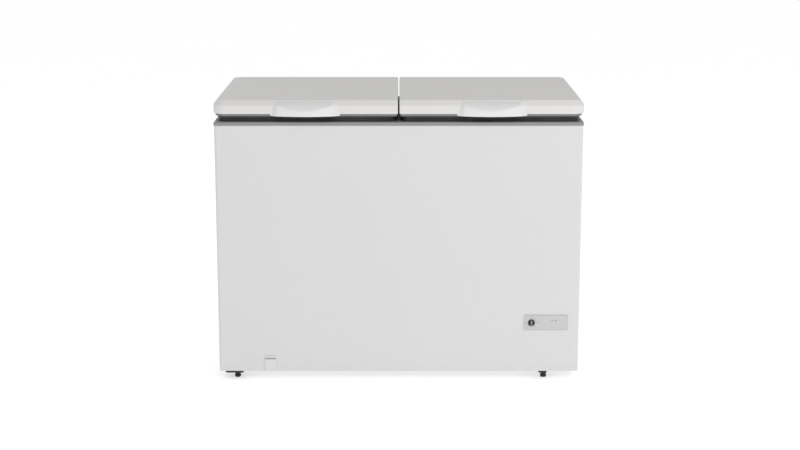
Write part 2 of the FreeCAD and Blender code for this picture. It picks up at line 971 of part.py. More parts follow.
def lid_skin(name, side):
    outer = lid_block(f"{name}_lid_outside", side, 0)
    holes = sketch(outer, "XZ_Plane", back - mm.hem_width)
    for x, z in arm_screw_spots(side):
        circle(holes, x, z, mm.screw_radius + mm.screw_gap)
    pocket(outer, holes, mm.hem_width)
    inner = lid_block(f"{name}_lid_inside", side, mm.skin_sheet)
    mouth = outline(sketch(inner, "XY_Plane", skin_bottom - mm.skin_sheet), lid_plan(side, mm.hem_width))
    pad(inner, mouth, 2 * mm.skin_sheet)
    skin = doc.addObject("Part::Cut", f"{name}_lid_skin")
    skin.Label = f"{name}_lid_skin"
    skin.Base = outer
    skin.Tool = inner
    return sub_part(skin)


def lid_foam(name, side):
    gap = mm.skin_sheet + mm.foam_gap
    foam = lid_block(f"{name}_lid_foam", side, gap)
    low = trim_bottom + mm.panel_sheet
    inset = mm.trim_inset + mm.trim_width + mm.foam_gap
    seam = mm.trim_seam_inset + mm.trim_width + mm.foam_gap
    plan = frame_inside(side, inset, seam)
    pad(foam, outline(sketch(foam, "XY_Plane", low), plan), skin_bottom + gap - low)
    return sub_part(foam)


def frame_inside(side, inset, seam_inset, corner=None):
    """Outline inside the trim, with one corner radius all round."""
    outer = half + mm.lid_overhang - inset
    seam = mm.lid_gap / 2 + seam_inset
    low_x, high_x = (-outer, -seam) if side < 0 else (seam, outer)
    return rectangle(low_x, lid_front + inset, high_x, back - inset, even(corner or mm.trim_corner))


def lid_trim(name, side):
    trim = body(f"{name}_lid_trim")
    frame = sketch(trim, "XY_Plane", trim_bottom)
    outline(frame, lid_plan(side, mm.trim_inset, mm.trim_seam_inset, mm.trim_corner))
    outline(frame, frame_inside(side, mm.trim_inset + mm.trim_width, mm.trim_seam_inset + mm.trim_width))
    pad(trim, frame, mm.trim_height)
    depth = mm.dart_height + mm.dart_gap
    groove = sketch(trim, "XY_Plane", trim_bottom + depth)
    gasket_ring(groove, side, mm.dart_width + 2 * mm.dart_gap)
    pocket(trim, groove, depth)
    return sub_part(trim)


def gasket_ring(drawing, side, width):
    """Two outlines, with the gasket's middle line midway between them."""
    for reach in (-width / 2, width / 2):
        inset = mm.gasket_inset + mm.gasket_width / 2 + reach
        seam = mm.gasket_seam_inset + mm.gasket_width / 2 + reach
        outline(drawing, lid_plan(side, inset, seam))
    return drawing


def lid_gasket(name, side):
    gasket = body(f"{name}_lid_gasket")
    low = seal + mm.gasket_rest
    waist = low + mm.gasket_bulb
    foot = trim_bottom - mm.gasket_foot
    for level, height, width in (
        (low, mm.gasket_bulb, mm.gasket_width),
        (waist, foot - waist, mm.gasket_waist),
        (foot, mm.gasket_foot, mm.gasket_width),
        (trim_bottom, mm.dart_height, mm.dart_width),
    ):
        pad(gasket, gasket_ring(sketch(gasket, "XY_Plane", level), side, width), height)
    return sub_part(gasket)


def lid_liner(name, side):
    liner = body(f"{name}_lid_liner")
    inset = mm.trim_inset + mm.trim_width + mm.skirt_gap
    seam = mm.trim_seam_inset + mm.trim_width + mm.skirt_gap
    flat_part = frame_inside(side, inset, seam)
    pad(liner, outline(sketch(liner, "XY_Plane", trim_bottom), flat_part), mm.panel_sheet)
    inset = inset + mm.plug_inset
    seam = seam + mm.plug_inset
    plug = frame_inside(side, inset, seam, mm.plug_corner)
    pad(liner, outline(sketch(liner, "XY_Plane", trim_bottom - mm.plug_drop), plug), mm.plug_drop)
    thick = mm.panel_sheet
    hollow = frame_inside(side, inset + thick, seam + thick, mm.plug_corner - thick)
    pocket(liner, outline(sketch(liner, "XY_Plane", trim_bottom + thick), hollow), mm.plug_drop)
    return sub_part(liner)


def handle_block(label, side, inset):
    """The hood of a handle: a bowed plan, a crowned side view and slanted ends, drawn in by an inset."""
    inset = sized(inset)
    solid = float(inset) == 0
    middle = side * lid_centre
    low = skin_bottom - mm.handle_drop - inset
    high = fascia_top + mm.handle_rise
    across = mm.handle_width / 2 - inset
    ends = lid_front - mm.handle_end_reach + inset
    nose = lid_front - mm.handle_reach + inset
    behind = lid_front + mm.bevel_back

    bow = body(f"{label}_bow")
    plan = [
        (middle - across, ends),
        (middle + across, ends),
        (middle + across, behind),
        (middle - across, behind),
    ]
    bow_plan = arched_outline(sketch(bow, "XY_Plane", low), plan, 0, mm.handle_reach - mm.handle_end_reach)
    pad(bow, bow_plan, high - low)

    crown = body(f"{label}_crown")
    tip_y = lid_front + mm.bevel_back * mm.handle_rise / mm.bevel_drop
    lip_top = skin_bottom - mm.handle_drop + mm.handle_lip - inset
    rear = [(lid_front, low), (lid_front, fascia_top)] if solid else [(tip_y, low)]
    view = [(nose, low), *rear, (tip_y, high - inset), (nose, lip_top)]
    side_view = sketch(crown, "YZ_Plane", middle - mm.handle_width / 2)
    pad(crown, arched_outline(side_view, view, len(view) - 2, mm.handle_crown), mm.handle_width)

    ends_view = body(f"{label}_ends")
    face = sketch(ends_view, "XZ_Plane", behind)
    outline(face, [
        (middle - across, low),
        (middle + across, low),
        (middle + across - mm.handle_slant, high),
        (middle - across + mm.handle_slant, high),
    ])
    pad(ends_view, face, mm.bevel_back + mm.handle_reach)
    block = doc.addObject("Part::MultiCommon", label)
    block.Label = label
    block.Shapes = [bow, crown, ends_view]
    return block


def arched_outline(drawing, spots, arch, rise):
    """A closed outline, drawn anticlockwise, whose side after one spot is an arc that bulges outwards."""
    spots = [tuple(sized(value) for value in spot) for spot in spots]
    count = len(spots)
    start, end = spots[arch], spots[(arch + 1) % count]
    run, climb = end[0] - start[0], end[1] - start[1]
    radius = (run * run + climb * climb + 4 * rise * rise) / (8 * rise)
    chord = heading(start, end)
    centre = (flat(start) + flat(end)) * 0.5 + Vector(-chord.y, chord.x, 0) * float(radius - rise)
    sides = []
    for turn in range(count):
        first, last = spots[turn], spots[(turn + 1) % count]
        if turn == arch:
            full = Part.Circle(centre, Vector(0, 0, 1), float(radius))
            arc = Part.ArcOfCircle(full, angle_of(first, centre), angle_of(last, centre))
            sides.append(drawing.addGeometry(arc))
        else:
            sides.append(drawing.addGeometry(Part.LineSegment(flat(first), flat(last))))
    for turn in range(count):
        join_ends(drawing, sides[turn - 1], 2, sides[turn], 1)
        pin_point(drawing, sides[turn], 1, *spots[turn])
    set_radius(drawing, sides[arch], radius)
    return drawing


def lid_handle(name, side):
    outside = handle_block(f"{name}_handle_outside", side, 0)
    inside = handle_block(f"{name}_handle_inside", side, mm.handle_wall)
    handle = doc.addObject("Part::Cut", f"{name}_lid_handle")
    handle.Label = f"{name}_lid_handle"
    handle.Base = outside
    handle.Tool = inside
    return sub_part(handle)


# Hinges, drawn round the pin's axis


def hinge_leaf():
    """The fixed half: a plate on the rear panel, two knuckles and a hook tab for the spring."""
    leaf = body("hinge_leaf")
    side = mm.leaf_width / 2
    inner = side - mm.knuckle_length
    notch = mm.knuckle_radius + mm.knuckle_gap
    plate = [
        (-side, -mm.leaf_drop),
        (side, -mm.leaf_drop),
        (side, 0),
        (inner, 0),
        (inner, -notch),
        (-inner, -notch),
        (-inner, 0),
        (-side, 0),
    ]
    plate_rear = mm.leaf_sheet - axis_offset
    pad(leaf, outline(sketch(leaf, "XZ_Plane", plate_rear), plate), mm.leaf_sheet)
    for x in (-side, inner):
        pad(leaf, circle(sketch(leaf, "YZ_Plane", x), 0, 0, mm.knuckle_radius), mm.knuckle_length)
    tab_x = mm.spring_span / 2
    reach = coil_radius + mm.tab_width / 2
    tab = rectangle(tab_x - mm.tab_width / 2, plate_rear - mm.leaf_sheet, tab_x + mm.tab_width / 2, reach)
    pad(leaf, outline(sketch(leaf, "XY_Plane", -mm.tab_drop), tab), mm.tab_sheet)
    hook = circle(sketch(leaf, "XY_Plane", mm.tab_sheet - mm.tab_drop), tab_x, coil_radius,
                  mm.spring_wire / 2 + mm.spring_gap)
    pocket(leaf, hook, mm.tab_sheet)
    pocket(leaf, circle(sketch(leaf, "YZ_Plane", side), 0, 0, mm.pin_radius + mm.pin_gap), mm.leaf_width)
    holes = sketch(leaf, "XZ_Plane", -axis_offset)
    for across in (-1, 1):
        for drop in (mm.screw_first, mm.screw_second):
            circle(holes, across * mm.screw_spread / 2, -drop, mm.screw_radius + mm.screw_gap)
    pocket(leaf, holes, mm.leaf_sheet)
    return leaf


def hinge_arm():
    """The moving half: a plate on the lid's rear face, on two necks with a knuckle each."""
    arm = body("hinge_arm")
    side = mm.leaf_width / 2
    outer = side - mm.knuckle_length - mm.knuckle_gap
    inner = outer - mm.knuckle_length
    plate = [
        (-outer, 0),
        (-inner, 0),
        (-inner, arm_foot),
        (inner, arm_foot),
        (inner, 0),
        (outer, 0),
        (outer, arm_foot),
        (side, arm_foot),
        (side, arm_top),
        (-side, arm_top),
        (-side, arm_foot),
        (-outer, arm_foot),
    ]
    plate_rear = mm.leaf_sheet - axis_offset
    pad(arm, outline(sketch(arm, "XZ_Plane", plate_rear), plate), mm.leaf_sheet)
    for x in (-outer, inner):
        pad(arm, circle(sketch(arm, "YZ_Plane", x), 0, 0, mm.knuckle_radius), mm.knuckle_length)
    pocket(arm, circle(sketch(arm, "YZ_Plane", side), 0, 0, mm.pin_radius + mm.pin_gap), mm.leaf_width)
    holes = sketch(arm, "XZ_Plane", -axis_offset)
    for across in (-1, 1):
        circle(holes, across * mm.screw_spread / 2, (arm_foot + arm_top) / 2, mm.screw_radius + mm.screw_gap)
    pocket(arm, holes, mm.leaf_sheet)
    return arm


def hinge_pin():
    """A riveted pin, turned round its own axis, which the group lays along X."""
    pin = body("hinge_pin")
    side = mm.leaf_width / 2
    gap = mm.pin_gap
    profile = sketch(pin, "XY_Plane")
    outline(profile, [
        (-side - gap - mm.pin_head, 0),
        (side + gap + mm.pin_head, 0),
        (side + gap + mm.pin_head, mm.pin_head_radius),
        (side + gap, mm.pin_head_radius),
        (side + gap, mm.pin_radius),
        (-side - gap, mm.pin_radius),
        (-side - gap, mm.pin_head_radius),
        (-side - gap - mm.pin_head, mm.pin_head_radius),
    ])
    feature = pin.newObject("PartDesign::Revolution", "hinge_pin_revolution")
    feature.Profile = profile
    feature.ReferenceAxis = (profile, ["H_Axis"])
    feature.Angle = 360
    return pin


def arc_from(start, heading_out, end):
    """The arc that leaves a point along a heading and ends at another point."""
    chord = end - start
    along_chord = chord.dot(heading_out)
    if chord.Length - abs(along_chord) < 1e-6:
        return Part.makeLine(start, end)
    across = chord - heading_out * along_chord
    across.normalize()
    radius = chord.dot(chord) / (2 * chord.dot(across))
    centre = start + across * radius
    half_way = (start + end) * 0.5 - centre
    half_way.normalize()
    return Part.Arc(start, centre + half_way * radius, end).toShape()


def two_arcs(start, heading_out, end, heading_in):
    """Two arcs in a row that leave one point and reach another along given headings."""
    step = end - start
    both = heading_out + heading_in
    spread = 2 * (1 - heading_out.dot(heading_in))
    lean = step.dot(both)
    reach = (math.sqrt(lean ** 2 + spread * step.dot(step)) - lean) / spread
    joint = (start + heading_out * reach + end - heading_in * reach) * 0.5
    return [arc_from(start, heading_out, joint), arc_from(end, -heading_in, joint)]


def spring_path():
    """A foot under the lid, the coil round the pin and a tail down to the hook tab."""
    radius = float(coil_radius)
    span = float(mm.spring_span)
    quarters = 4 * SPRING_TURNS + 1
    foot = point(-span / 2, -float(axis_offset + mm.spring_foot), radius)
    tail = point(span / 2, radius, -float(mm.spring_tail))

    def spot(quarter):
        turn = quarter * math.pi / 2
        return Vector(span * (quarter / quarters - 0.5), radius * math.sin(turn), radius * math.cos(turn))

    def way(quarter):
        if quarter == 0:
            return Vector(0, 1, 0)
        if quarter == quarters:
            return Vector(0, 0, -1)
        turn = quarter * math.pi / 2
        rise = span / quarters / (math.pi / 2)
        return Vector(rise, radius * math.cos(turn), -radius * math.sin(turn)).normalize()

    edges = [Part.makeLine(foot, spot(0))]
    for quarter in range(quarters):
        edges += two_arcs(spot(quarter), way(quarter), spot(quarter + 1), way(quarter + 1))
    edges.append(Part.makeLine(spot(quarters), tail))
    return Part.Wire(Part.__sortEdges__(edges))


def least_gap(path, wire):
    """The smallest gap between stretches of a wire that lie more than two wires apart along it."""
    count = 600
    spots = path.discretize(Number=count)
    step = path.Length / (count - 1)
    skip = int(math.pi * wire / step) + 1
    return min(
        spots[i].distanceToPoint(spots[j]) - wire
        for i in range(count)
        for j in range(i + skip, count)
    )


def hinge_spring():
    path = spring_path()
    wire = float(mm.spring_wire)
    print(f"hinge spring: least gap to itself {least_gap(path, wire):.2f}")
    return shaped("hinge_spring", wire_solid(path, wire / 2))


def screw(label, grip):
    """A round-headed screw whose head sits at height zero and whose shank goes down."""
    head = mm.screw_head_radius
    return turned(label, [
        (0, -grip),
        (mm.screw_radius, -grip),
        (mm.screw_radius, 0),
        (head, 0),
        (head, mm.screw_head / 2),
        (head * 0.6, mm.screw_head),
        (0, mm.screw_head),
    ])


# Control panel, thermostat and lamps


def control_panel():
    panel = body("control_panel")
    right = panel_left + mm.panel_width
    top = panel_bottom + mm.panel_height
    plate = rectangle(panel_left, panel_bottom, right, top, even(mm.panel_corner))
    pad(panel, outline(sketch(panel, "XZ_Plane", front), plate), mm.panel_thick)
    frame = sketch(panel, "XZ_Plane", front + mm.frame_depth)
    for inset in (mm.frame_inset, mm.frame_inset + mm.frame_wall):
        outline(frame, rectangle(panel_left + inset, panel_bottom + inset, right - inset, top - inset))
    pad(panel, frame, mm.frame_depth)
    holes = sketch(panel, "XZ_Plane", front - mm.panel_thick)
    circle(holes, dial_x, dial_z, mm.stem_radius + mm.stem_gap)
    for x, z in lens_spots():
        circle(holes, x, z, mm.lens_radius + mm.screw_gap)
    pocket(panel, holes, mm.panel_thick)
    return sub_part(panel)


def lens_spots():
    first = panel_left + mm.lens_inset
    return [(first, dial_z + mm.lens_rise), (first + mm.lens_pitch, dial_z + mm.lens_rise)]


def indicator_lenses():
    lens = turned("indicator_lens", [
        (0, -mm.lens_flange),
        (mm.lens_radius + mm.lens_flange, -mm.lens_flange),
        (mm.lens_radius + mm.lens_flange, 0),
        (mm.lens_radius, 0),
        (mm.lens_radius, mm.panel_thick),
        (mm.lens_radius * 0.5, mm.panel_thick + mm.lens_proud),
        (0, mm.panel_thick + mm.lens_proud),
    ])
    return group("indicator_lenses", lens, [(x, front, z) for x, z in lens_spots()], 90)


def thermostat_dial():
    dial = turned("thermostat_dial", [
        (0, -mm.panel_thick - mm.stem_reach),
        (mm.stem_radius, -mm.panel_thick - mm.stem_reach),
        (mm.stem_radius, mm.fit_gap),
        (mm.dial_radius, mm.fit_gap),
        (mm.dial_radius, mm.dial_skirt * 0.6),
        (mm.grip_radius, mm.dial_skirt),
        (mm.grip_radius * 0.9, mm.grip_height),
        (0, mm.grip_height),
    ])
    cut = sketch(dial, "XY_Plane", mm.grip_height)
    circle(cut, mm.grip_radius, 0, mm.flute_radius)
    flute = pocket(dial, cut, mm.grip_height - mm.dial_skirt)
    pattern = dial.newObject("PartDesign::PolarPattern", "dial_flutes")
    pattern.Originals = [flute]
    pattern.Axis = (cut, ["N_Axis"])
    pattern.Angle = 360
    pattern.Occurrences = DIAL_FLUTES
    dial.Tip = pattern
    return sub_part(place(dial, dial_x, front - mm.panel_thick, dial_z, 90))


def thermostat():
    made = body("thermostat")
    bush = circle(sketch(made, "XZ_Plane", front + mm.bush_length), dial_x, dial_z, mm.bush_radius)
    pad(made, bush, mm.bush_length)
    side = mm.thermostat_width / 2
    rise = mm.thermostat_height / 2
    case = rectangle(dial_x - side, dial_z - rise, dial_x + side, dial_z + rise)
    rear = front + mm.bush_length + mm.thermostat_depth
    pad(made, outline(sketch(made, "XZ_Plane", rear), case), mm.thermostat_depth)
    bore = circle(sketch(made, "XZ_Plane", front), dial_x, dial_z, mm.stem_radius + mm.stem_gap)
    pocket(made, bore, mm.stem_reach + mm.fit_gap)
    return sub_part(made)


def sensing_bulb():
    """The thermostat's sensing tube, which ends in a bulb under the tank's raised floor."""
    tube_y = front + mm.bush_length + mm.thermostat_depth / 2
    case_top = dial_z + mm.thermostat_height / 2
    bulb_low = step_floor - mm.liner_sheet - mm.fit_gap - mm.bulb_length
    turn_z = (case_top + bulb_low) / 2
    bend = mm.sensor_tube * 8
    path = bent_path([
        point(dial_x, tube_y, case_top),
        point(dial_x, tube_y, turn_z),
        point(dial_x, bulb_y, turn_z),
        point(dial_x, bulb_y, bulb_low),
    ], float(bend))
    lead = wire_solid(path, float(mm.sensor_tube))
    bulb = Part.makeCylinder(float(mm.bulb_radius), float(mm.bulb_length), point(dial_x, bulb_y, bulb_low))
    return sub_part(shaped("sensing_bulb", lead.fuse(bulb)))


# Drain


def drain_hose():
    """A bent hose from the tank floor to the front."""
    hose = body("drain_hose")
    top = tank_floor - mm.liner_sheet
    spine = sketch(hose, "YZ_Plane", drain_x)
    bend = mm.hose_bend
    upright = spine.addGeometry(Part.LineSegment(flat((drain_y, top)), flat((drain_y, drain_z + bend))))
    centre = (drain_y - bend, drain_z + bend)
    curve = Part.ArcOfCircle(Part.Circle(flat(centre), Vector(0, 0, 1), float(bend)), -math.pi / 2, 0)
    turn = spine.addGeometry(curve)
    end_y = front + mm.hose_end
    level = spine.addGeometry(Part.LineSegment(flat((drain_y - bend, drain_z)), flat((end_y, drain_z))))
    pin_point(spine, upright, 1, drain_y, top)
    pin_point(spine, upright, 2, drain_y, drain_z + bend)
    pin_point(spine, level, 1, drain_y - bend, drain_z)
    pin_point(spine, level, 2, end_y, drain_z)
    join_ends(spine, upright, 2, turn, 2)
    join_ends(spine, turn, 1, level, 1)
    set_radius(spine, turn, bend)
    for kind, radius in (("AdditivePipe", mm.hose_radius), ("SubtractivePipe", mm.hose_bore)):
        ring = circle(sketch(hose, "XY_Plane", top), drain_x, drain_y, radius)
        pipe = hose.newObject(f"PartDesign::{kind}", f"drain_hose_{kind}")
        pipe.Profile = ring
        pipe.Spine = spine
    return sub_part(hose)


def drain_cover():
    cover = body("drain_cover")
    side = mm.drain_width / 2
    plate = rectangle(drain_x - side, base, drain_x + side, base + mm.drain_height, even(mm.cover_corner))
    block = pad(cover, outline(sketch(cover, "XZ_Plane", front), plate), mm.cover_thick)
    face_y = float(front - mm.cover_thick)
    soften(cover, block, lambda edge: edge.BoundBox.YMax < face_y + 0.01, mm.cover_edge)
    slot_top = base + mm.drain_height - mm.finger_slot_drop
    slot_side = mm.finger_slot_width / 2
    slot = rectangle(drain_x - slot_side, slot_top - mm.finger_slot_height, drain_x + slot_side, slot_top)
    pocket(cover, outline(sketch(cover, "XZ_Plane", front - mm.cover_thick), slot), mm.finger_slot_depth)
    stub = sketch(cover, "XZ_Plane", front + mm.stub_reach)
    pad(cover, circle(stub, drain_x, drain_z, mm.hose_bore - mm.stub_gap), mm.stub_reach)
    return sub_part(cover)


def drain_plug():
    plug = turned("drain_plug", [
        (0, -mm.plug_stem),
        (mm.hose_bore - 2 * mm.stub_gap, -mm.plug_stem),
        (mm.hose_bore - mm.stub_gap, 0),
        (mm.plug_head_radius, 0),
        (mm.plug_head_radius, mm.plug_head / 2),
        (mm.plug_knob_radius, mm.plug_head),
        (mm.plug_knob_radius * 0.8, mm.plug_knob),
        (0, mm.plug_knob),
    ])
    return sub_part(place(plug, drain_x, drain_y, tank_floor))


# Feet


def foot_places():
    left = -half + mm.left_foot_inset
    right = half - mm.right_foot_inset
    near = front + mm.foot_setback
    far = back - mm.foot_setback
    return {
        "front_left": (left, near),
        "rear_left": (left, far),
        "front_right": (right, near),
        "rear_right": (right, far),
    }


def foot_brackets(side):
    width, shift = {
        "left": (mm.left_bracket_width, mm.left_bracket_shift),
        "right": (mm.right_bracket_width, mm.right_bracket_shift),
    }[side]
    bracket = body(f"{side}_foot_bracket")
    deep = mm.bracket_depth / 2
    plan = rectangle(-width / 2 - shift, -deep, width / 2 - shift, deep, even(mm.cover_corner))
    pad(bracket, outline(sketch(bracket, "XY_Plane", -mm.bracket_plate), plan), mm.bracket_plate)
    boss = circle(sketch(bracket, "XY_Plane", -mm.bracket_drop), 0, 0, mm.bracket_boss)
    pad(bracket, boss, mm.bracket_drop - mm.bracket_plate)
    pocket(bracket, circle(sketch(bracket, "XY_Plane"), 0, 0, mm.stud_radius + mm.stud_gap), mm.bracket_drop)
    spots = [(x, y, base) for name, (x, y) in foot_places().items() if name.endswith(side)]
    return group(f"{side}_foot_brackets", bracket, spots)


def levelling_foot(name, spot):
    foot = turned(f"{name}_foot", [
        (0, 0),
        (mm.foot_radius * 0.85, 0),
        (mm.foot_radius, mm.foot_thick * 0.2),
        (mm.foot_radius, mm.foot_thick),
        (mm.stud_radius, mm.foot_thick),
        (mm.stud_radius, base - mm.stud_top_gap),
        (0, base - mm.stud_top_gap),
    ])
    return sub_part(place(foot, *spot, 0))


# Compressor and cooling circuit


def mount_spots():
    return [
        (compressor_x + across * mm.mount_width / 2, compressor_y + deep * mm.mount_length / 2)
        for across in (-1, 1)
        for deep in (-1, 1)
    ]


def compressor_plan(grow):
    wide = mm.compressor_width / 2 + grow
    long = mm.compressor_length / 2 + grow
    return rectangle(
        compressor_x - wide,
        compressor_y - long,
        compressor_x + wide,
        compressor_y + long,
        even(mm.compressor_corner + grow),
    )


def compressor():
    shell = body("compressor")
    plan = outline(sketch(shell, "XY_Plane", shell_bottom), compressor_plan(sized(0)))
    block = pad(shell, plan, mm.compressor_height)
    top = float(shell_bottom + mm.compressor_height)
    dome = soften(shell, block, lambda edge: edge.BoundBox.ZMin > top - 0.01, mm.compressor_dome)
    low = float(shell_bottom)
    soften(shell, dome, lambda edge: edge.BoundBox.ZMax < low + 0.01, mm.compressor_bowl)
    seam = sketch(shell, "XY_Plane", shell_bottom + mm.seam_rise)
    pad(shell, outline(seam, compressor_plan(mm.seam_reach)), mm.seam_thick)
    return sub_part(shell)


def compressor_foot_plate():
    plate = body("compressor_foot_plate")
    wide = mm.foot_plate_width / 2
    long = mm.foot_plate_length / 2
    plan = rectangle(
        compressor_x - wide,
        compressor_y - long,
        compressor_x + wide,
        compressor_y + long,
        even(mm.grommet_radius),
    )
    pad(plate, outline(sketch(plate, "XY_Plane", plate_bottom), plan), mm.foot_plate_sheet)
    holes = sketch(plate, "XY_Plane", shell_bottom)
    for x, y in mount_spots():
        circle(holes, x, y, mm.grommet_neck + mm.fit_gap)
    pocket(plate, holes, mm.foot_plate_sheet)
    return sub_part(plate)


def compressor_mounts():
    neck_top = mm.grommet_height + mm.foot_plate_sheet
    top = neck_top + mm.grommet_top
    grommet = turned("compressor_grommet", [
        (mm.bolt_radius + mm.fit_gap, 0),
        (mm.grommet_radius, 0),
        (mm.grommet_radius, mm.grommet_height),
        (mm.grommet_neck, mm.grommet_height),
        (mm.grommet_neck, neck_top),
        (mm.grommet_radius, neck_top),
        (mm.grommet_radius * 0.9, top),
        (mm.bolt_radius + mm.fit_gap, top),
    ])
    group("compressor_grommets", grommet, [(x, y, tray_top) for x, y in mount_spots()])
    bolt = turned("compressor_bolt", [
        (0, -mm.tray_sheet - mm.bolt_end),
        (mm.bolt_radius, -mm.tray_sheet - mm.bolt_end),
        (mm.bolt_radius, top),
        (mm.bolt_head_radius, top),
        (mm.bolt_head_radius, top + mm.bolt_head),
        (0, top + mm.bolt_head),
    ])
    group("compressor_bolts", bolt, [(x, y, tray_top) for x, y in mount_spots()])


def relay_box():
    box = doc.addObject("Part::Box", "relay_box")
    box.Label = "relay_box"
    bind(box, "Length", mm.relay_depth)
    bind(box, "Width", mm.relay_width)
    bind(box, "Height", mm.relay_height)
    place(
        box,
        compressor_x - mm.compressor_width / 2 - mm.relay_depth,
        compressor_y - mm.relay_width / 2,
        shell_bottom + mm.seam_rise + mm.seam_thick + mm.relay_clear,
    )
    return sub_part(box)


def evaporator_tube():
    """One tube wound down round the tank, with both ends in the shaft to the bay."""
    low_y = tank_front - evaporator_out
    high_y = tank_back + evaporator_out
    x = evaporator_x
    corners = [(x, low_y), (-x, low_y), (-x, high_y), (x, high_y)]
    bend = evaporator_bend
    way = [
        (riser_x, riser_y, bay_ceiling),
        (riser_x, riser_y, evaporator_top),
        (riser_x, riser_y - 3 * bend, evaporator_top),
        (x, riser_y - 5 * bend, evaporator_top),
    ]
    drop = mm.evaporator_pitch / 4
    for turn in range(EVAPORATOR_TURNS):
        for quarter, (corner_x, corner_y) in enumerate(corners):
            way.append((corner_x, corner_y, evaporator_top - (4 * turn + quarter + 1) * drop))
    way.append((x, outlet_y, evaporator_top - evaporator_fall))
    way.append((x, outlet_y, bay_ceiling))
    return tube("evaporator_tube", way, mm.evaporator_radius, bend)


def condenser_tube():
    """One tube up behind the front, down in rows and on into the drier."""
    top = rim - mm.condenser_drop
    way = [(inlet_x, condenser_y, bay_ceiling), (inlet_x, condenser_y, top)]
    for row in range(CONDENSER_ROWS):
        level = top - row * mm.condenser_pitch
        start, end = (condenser_x, -condenser_x) if row % 2 == 0 else (-condenser_x, condenser_x)
        if row > 0:
            way.append((start, condenser_y, level))
        way.append((end, condenser_y, level))
    bend = mm.condenser_pitch * 0.48
    turn_z = bay_ceiling - 2 * bend
    way.append((condenser_x, condenser_y, turn_z))
    way.append((condenser_x, drier_y, turn_z))
    way.append((condenser_x, drier_y, turn_z - 1.5 * bend))
    return tube("condenser_tube", way, mm.condenser_radius, bend)


def drier_top():
    return bay_ceiling - 3.5 * (mm.condenser_pitch * 0.48)


def filter_drier():
    drier = turned("filter_drier", [
        (0, -mm.drier_length),
        (mm.condenser_radius, -mm.drier_length),
        (mm.drier_radius, mm.drier_cone - mm.drier_length),
        (mm.drier_radius, -mm.drier_cone),
        (mm.condenser_radius, 0),
        (0, 0),
    ])
    return sub_part(place(drier, condenser_x, drier_y, drier_top()))


def cooling_lines():
    bend = 5 * mm.discharge_radius
    ahead = port_y - 3 * bend
    outlet_z = shell_bottom + mm.discharge_rise
    turn_z = bay_ceiling - 3 * bend
    tube("discharge_tube", [
        (compressor_x, port_y, outlet_z),
        (compressor_x, ahead, outlet_z),
        (inlet_x, ahead, outlet_z),
        (inlet_x, ahead, turn_z),
        (inlet_x, condenser_y, turn_z),
        (inlet_x, condenser_y, bay_ceiling),
    ], mm.discharge_radius, bend)
    bend = 5 * mm.suction_radius
    suction_z = shell_bottom + mm.suction_rise
    over = bay_ceiling - 2 * bend
    ahead = port_y - 4 * bend
    tube("suction_tube", [
        (evaporator_x, outlet_y, bay_ceiling),
        (evaporator_x, outlet_y, over),
        (evaporator_x, ahead, over),
        (compressor_x, ahead, over),
        (compressor_x, ahead, suction_z),
        (compressor_x, port_y, suction_z),
    ], mm.suction_radius, bend)
    stub = doc.addObject("Part::Cylinder", "process_tube")
    stub.Label = "process_tube"
    bind(stub, "Radius", mm.process_radius)
    bind(stub, "Height", mm.process_length)
    sub_part(place(stub, compressor_x, port_y, shell_bottom + mm.process_rise, 90))
    bend = 10 * mm.capillary_radius
    low = drier_top() - mm.drier_length
    beside = bay_left + mm.bay_width / 2
    cross_y = drier_y + 10 * bend
    over = bay_ceiling - 2 * bend
    tube("capillary_tube", [
        (condenser_x, drier_y, low),
        (condenser_x, drier_y, low - 2 * bend),
        (beside, drier_y, low - 2 * bend),
        (beside, cross_y, low - 2 * bend),
        (beside, cross_y, over),
        (riser_x, cross_y, over),
        (riser_x, riser_y, over),
        (riser_x, riser_y, bay_ceiling),
    ], mm.capillary_radius, bend)


# Grille, vent and gland


def rear_grille():
    grille = body("rear_grille")
    edge = mm.grille_border
    x0, z0, x1, z1 = opening
    plate = rectangle(x0 - edge, z0 - edge, x1 + edge, z1 + edge, even(mm.cover_corner))
    pad(grille, outline(sketch(grille, "XZ_Plane", back + mm.grille_sheet), plate), mm.grille_sheet)
    holes = sketch(grille, "XZ_Plane", back)
    for x, z in grille_screw_spots:
        circle(holes, x, z, mm.screw_radius + mm.screw_gap)
    pocket(grille, holes, mm.grille_sheet)
    slot = sketch(grille, "XZ_Plane", back)
    outline(slot, rectangle(x0 + edge, z0 + edge, x1 - edge, z0 + edge + mm.slot_height))
    cut = pocket(grille, slot, mm.grille_sheet)
    repeat_up(grille, cut, slot, slot_count(z1 - z0 - 2 * edge), mm.slot_pitch)
    return sub_part(grille)


def slot_count(room):
    """How many slots fit in some room."""
    return int((float(room) - float(mm.slot_height)) / float(mm.slot_pitch)) + 1


def side_vent():
    """A louvred insert, flush with the right side and held by a flange behind it."""
    vent = body("side_vent")
    flange_x = skin_x - mm.vent_sheet
    pad(vent, outline(sketch(vent, "YZ_Plane", flange_x), vent_corners(mm.vent_flange)), mm.vent_sheet)
    pad(vent, outline(sketch(vent, "YZ_Plane", skin_x), vent_corners(sized(0))), mm.cabinet_sheet)
    edge = mm.grille_border
    y0 = vent_y - mm.vent_length / 2 + edge
    z0 = vent_z - mm.vent_height / 2 + edge
    slot = sketch(vent, "YZ_Plane", half)
    outline(slot, rectangle(y0, z0, y0 + mm.vent_length - 2 * edge, z0 + mm.slot_height))
    cut = pocket(vent, slot, mm.cabinet_sheet + mm.vent_sheet)
    repeat_up(vent, cut, slot, slot_count(mm.vent_height - 2 * edge), mm.slot_pitch)
    return sub_part(vent)


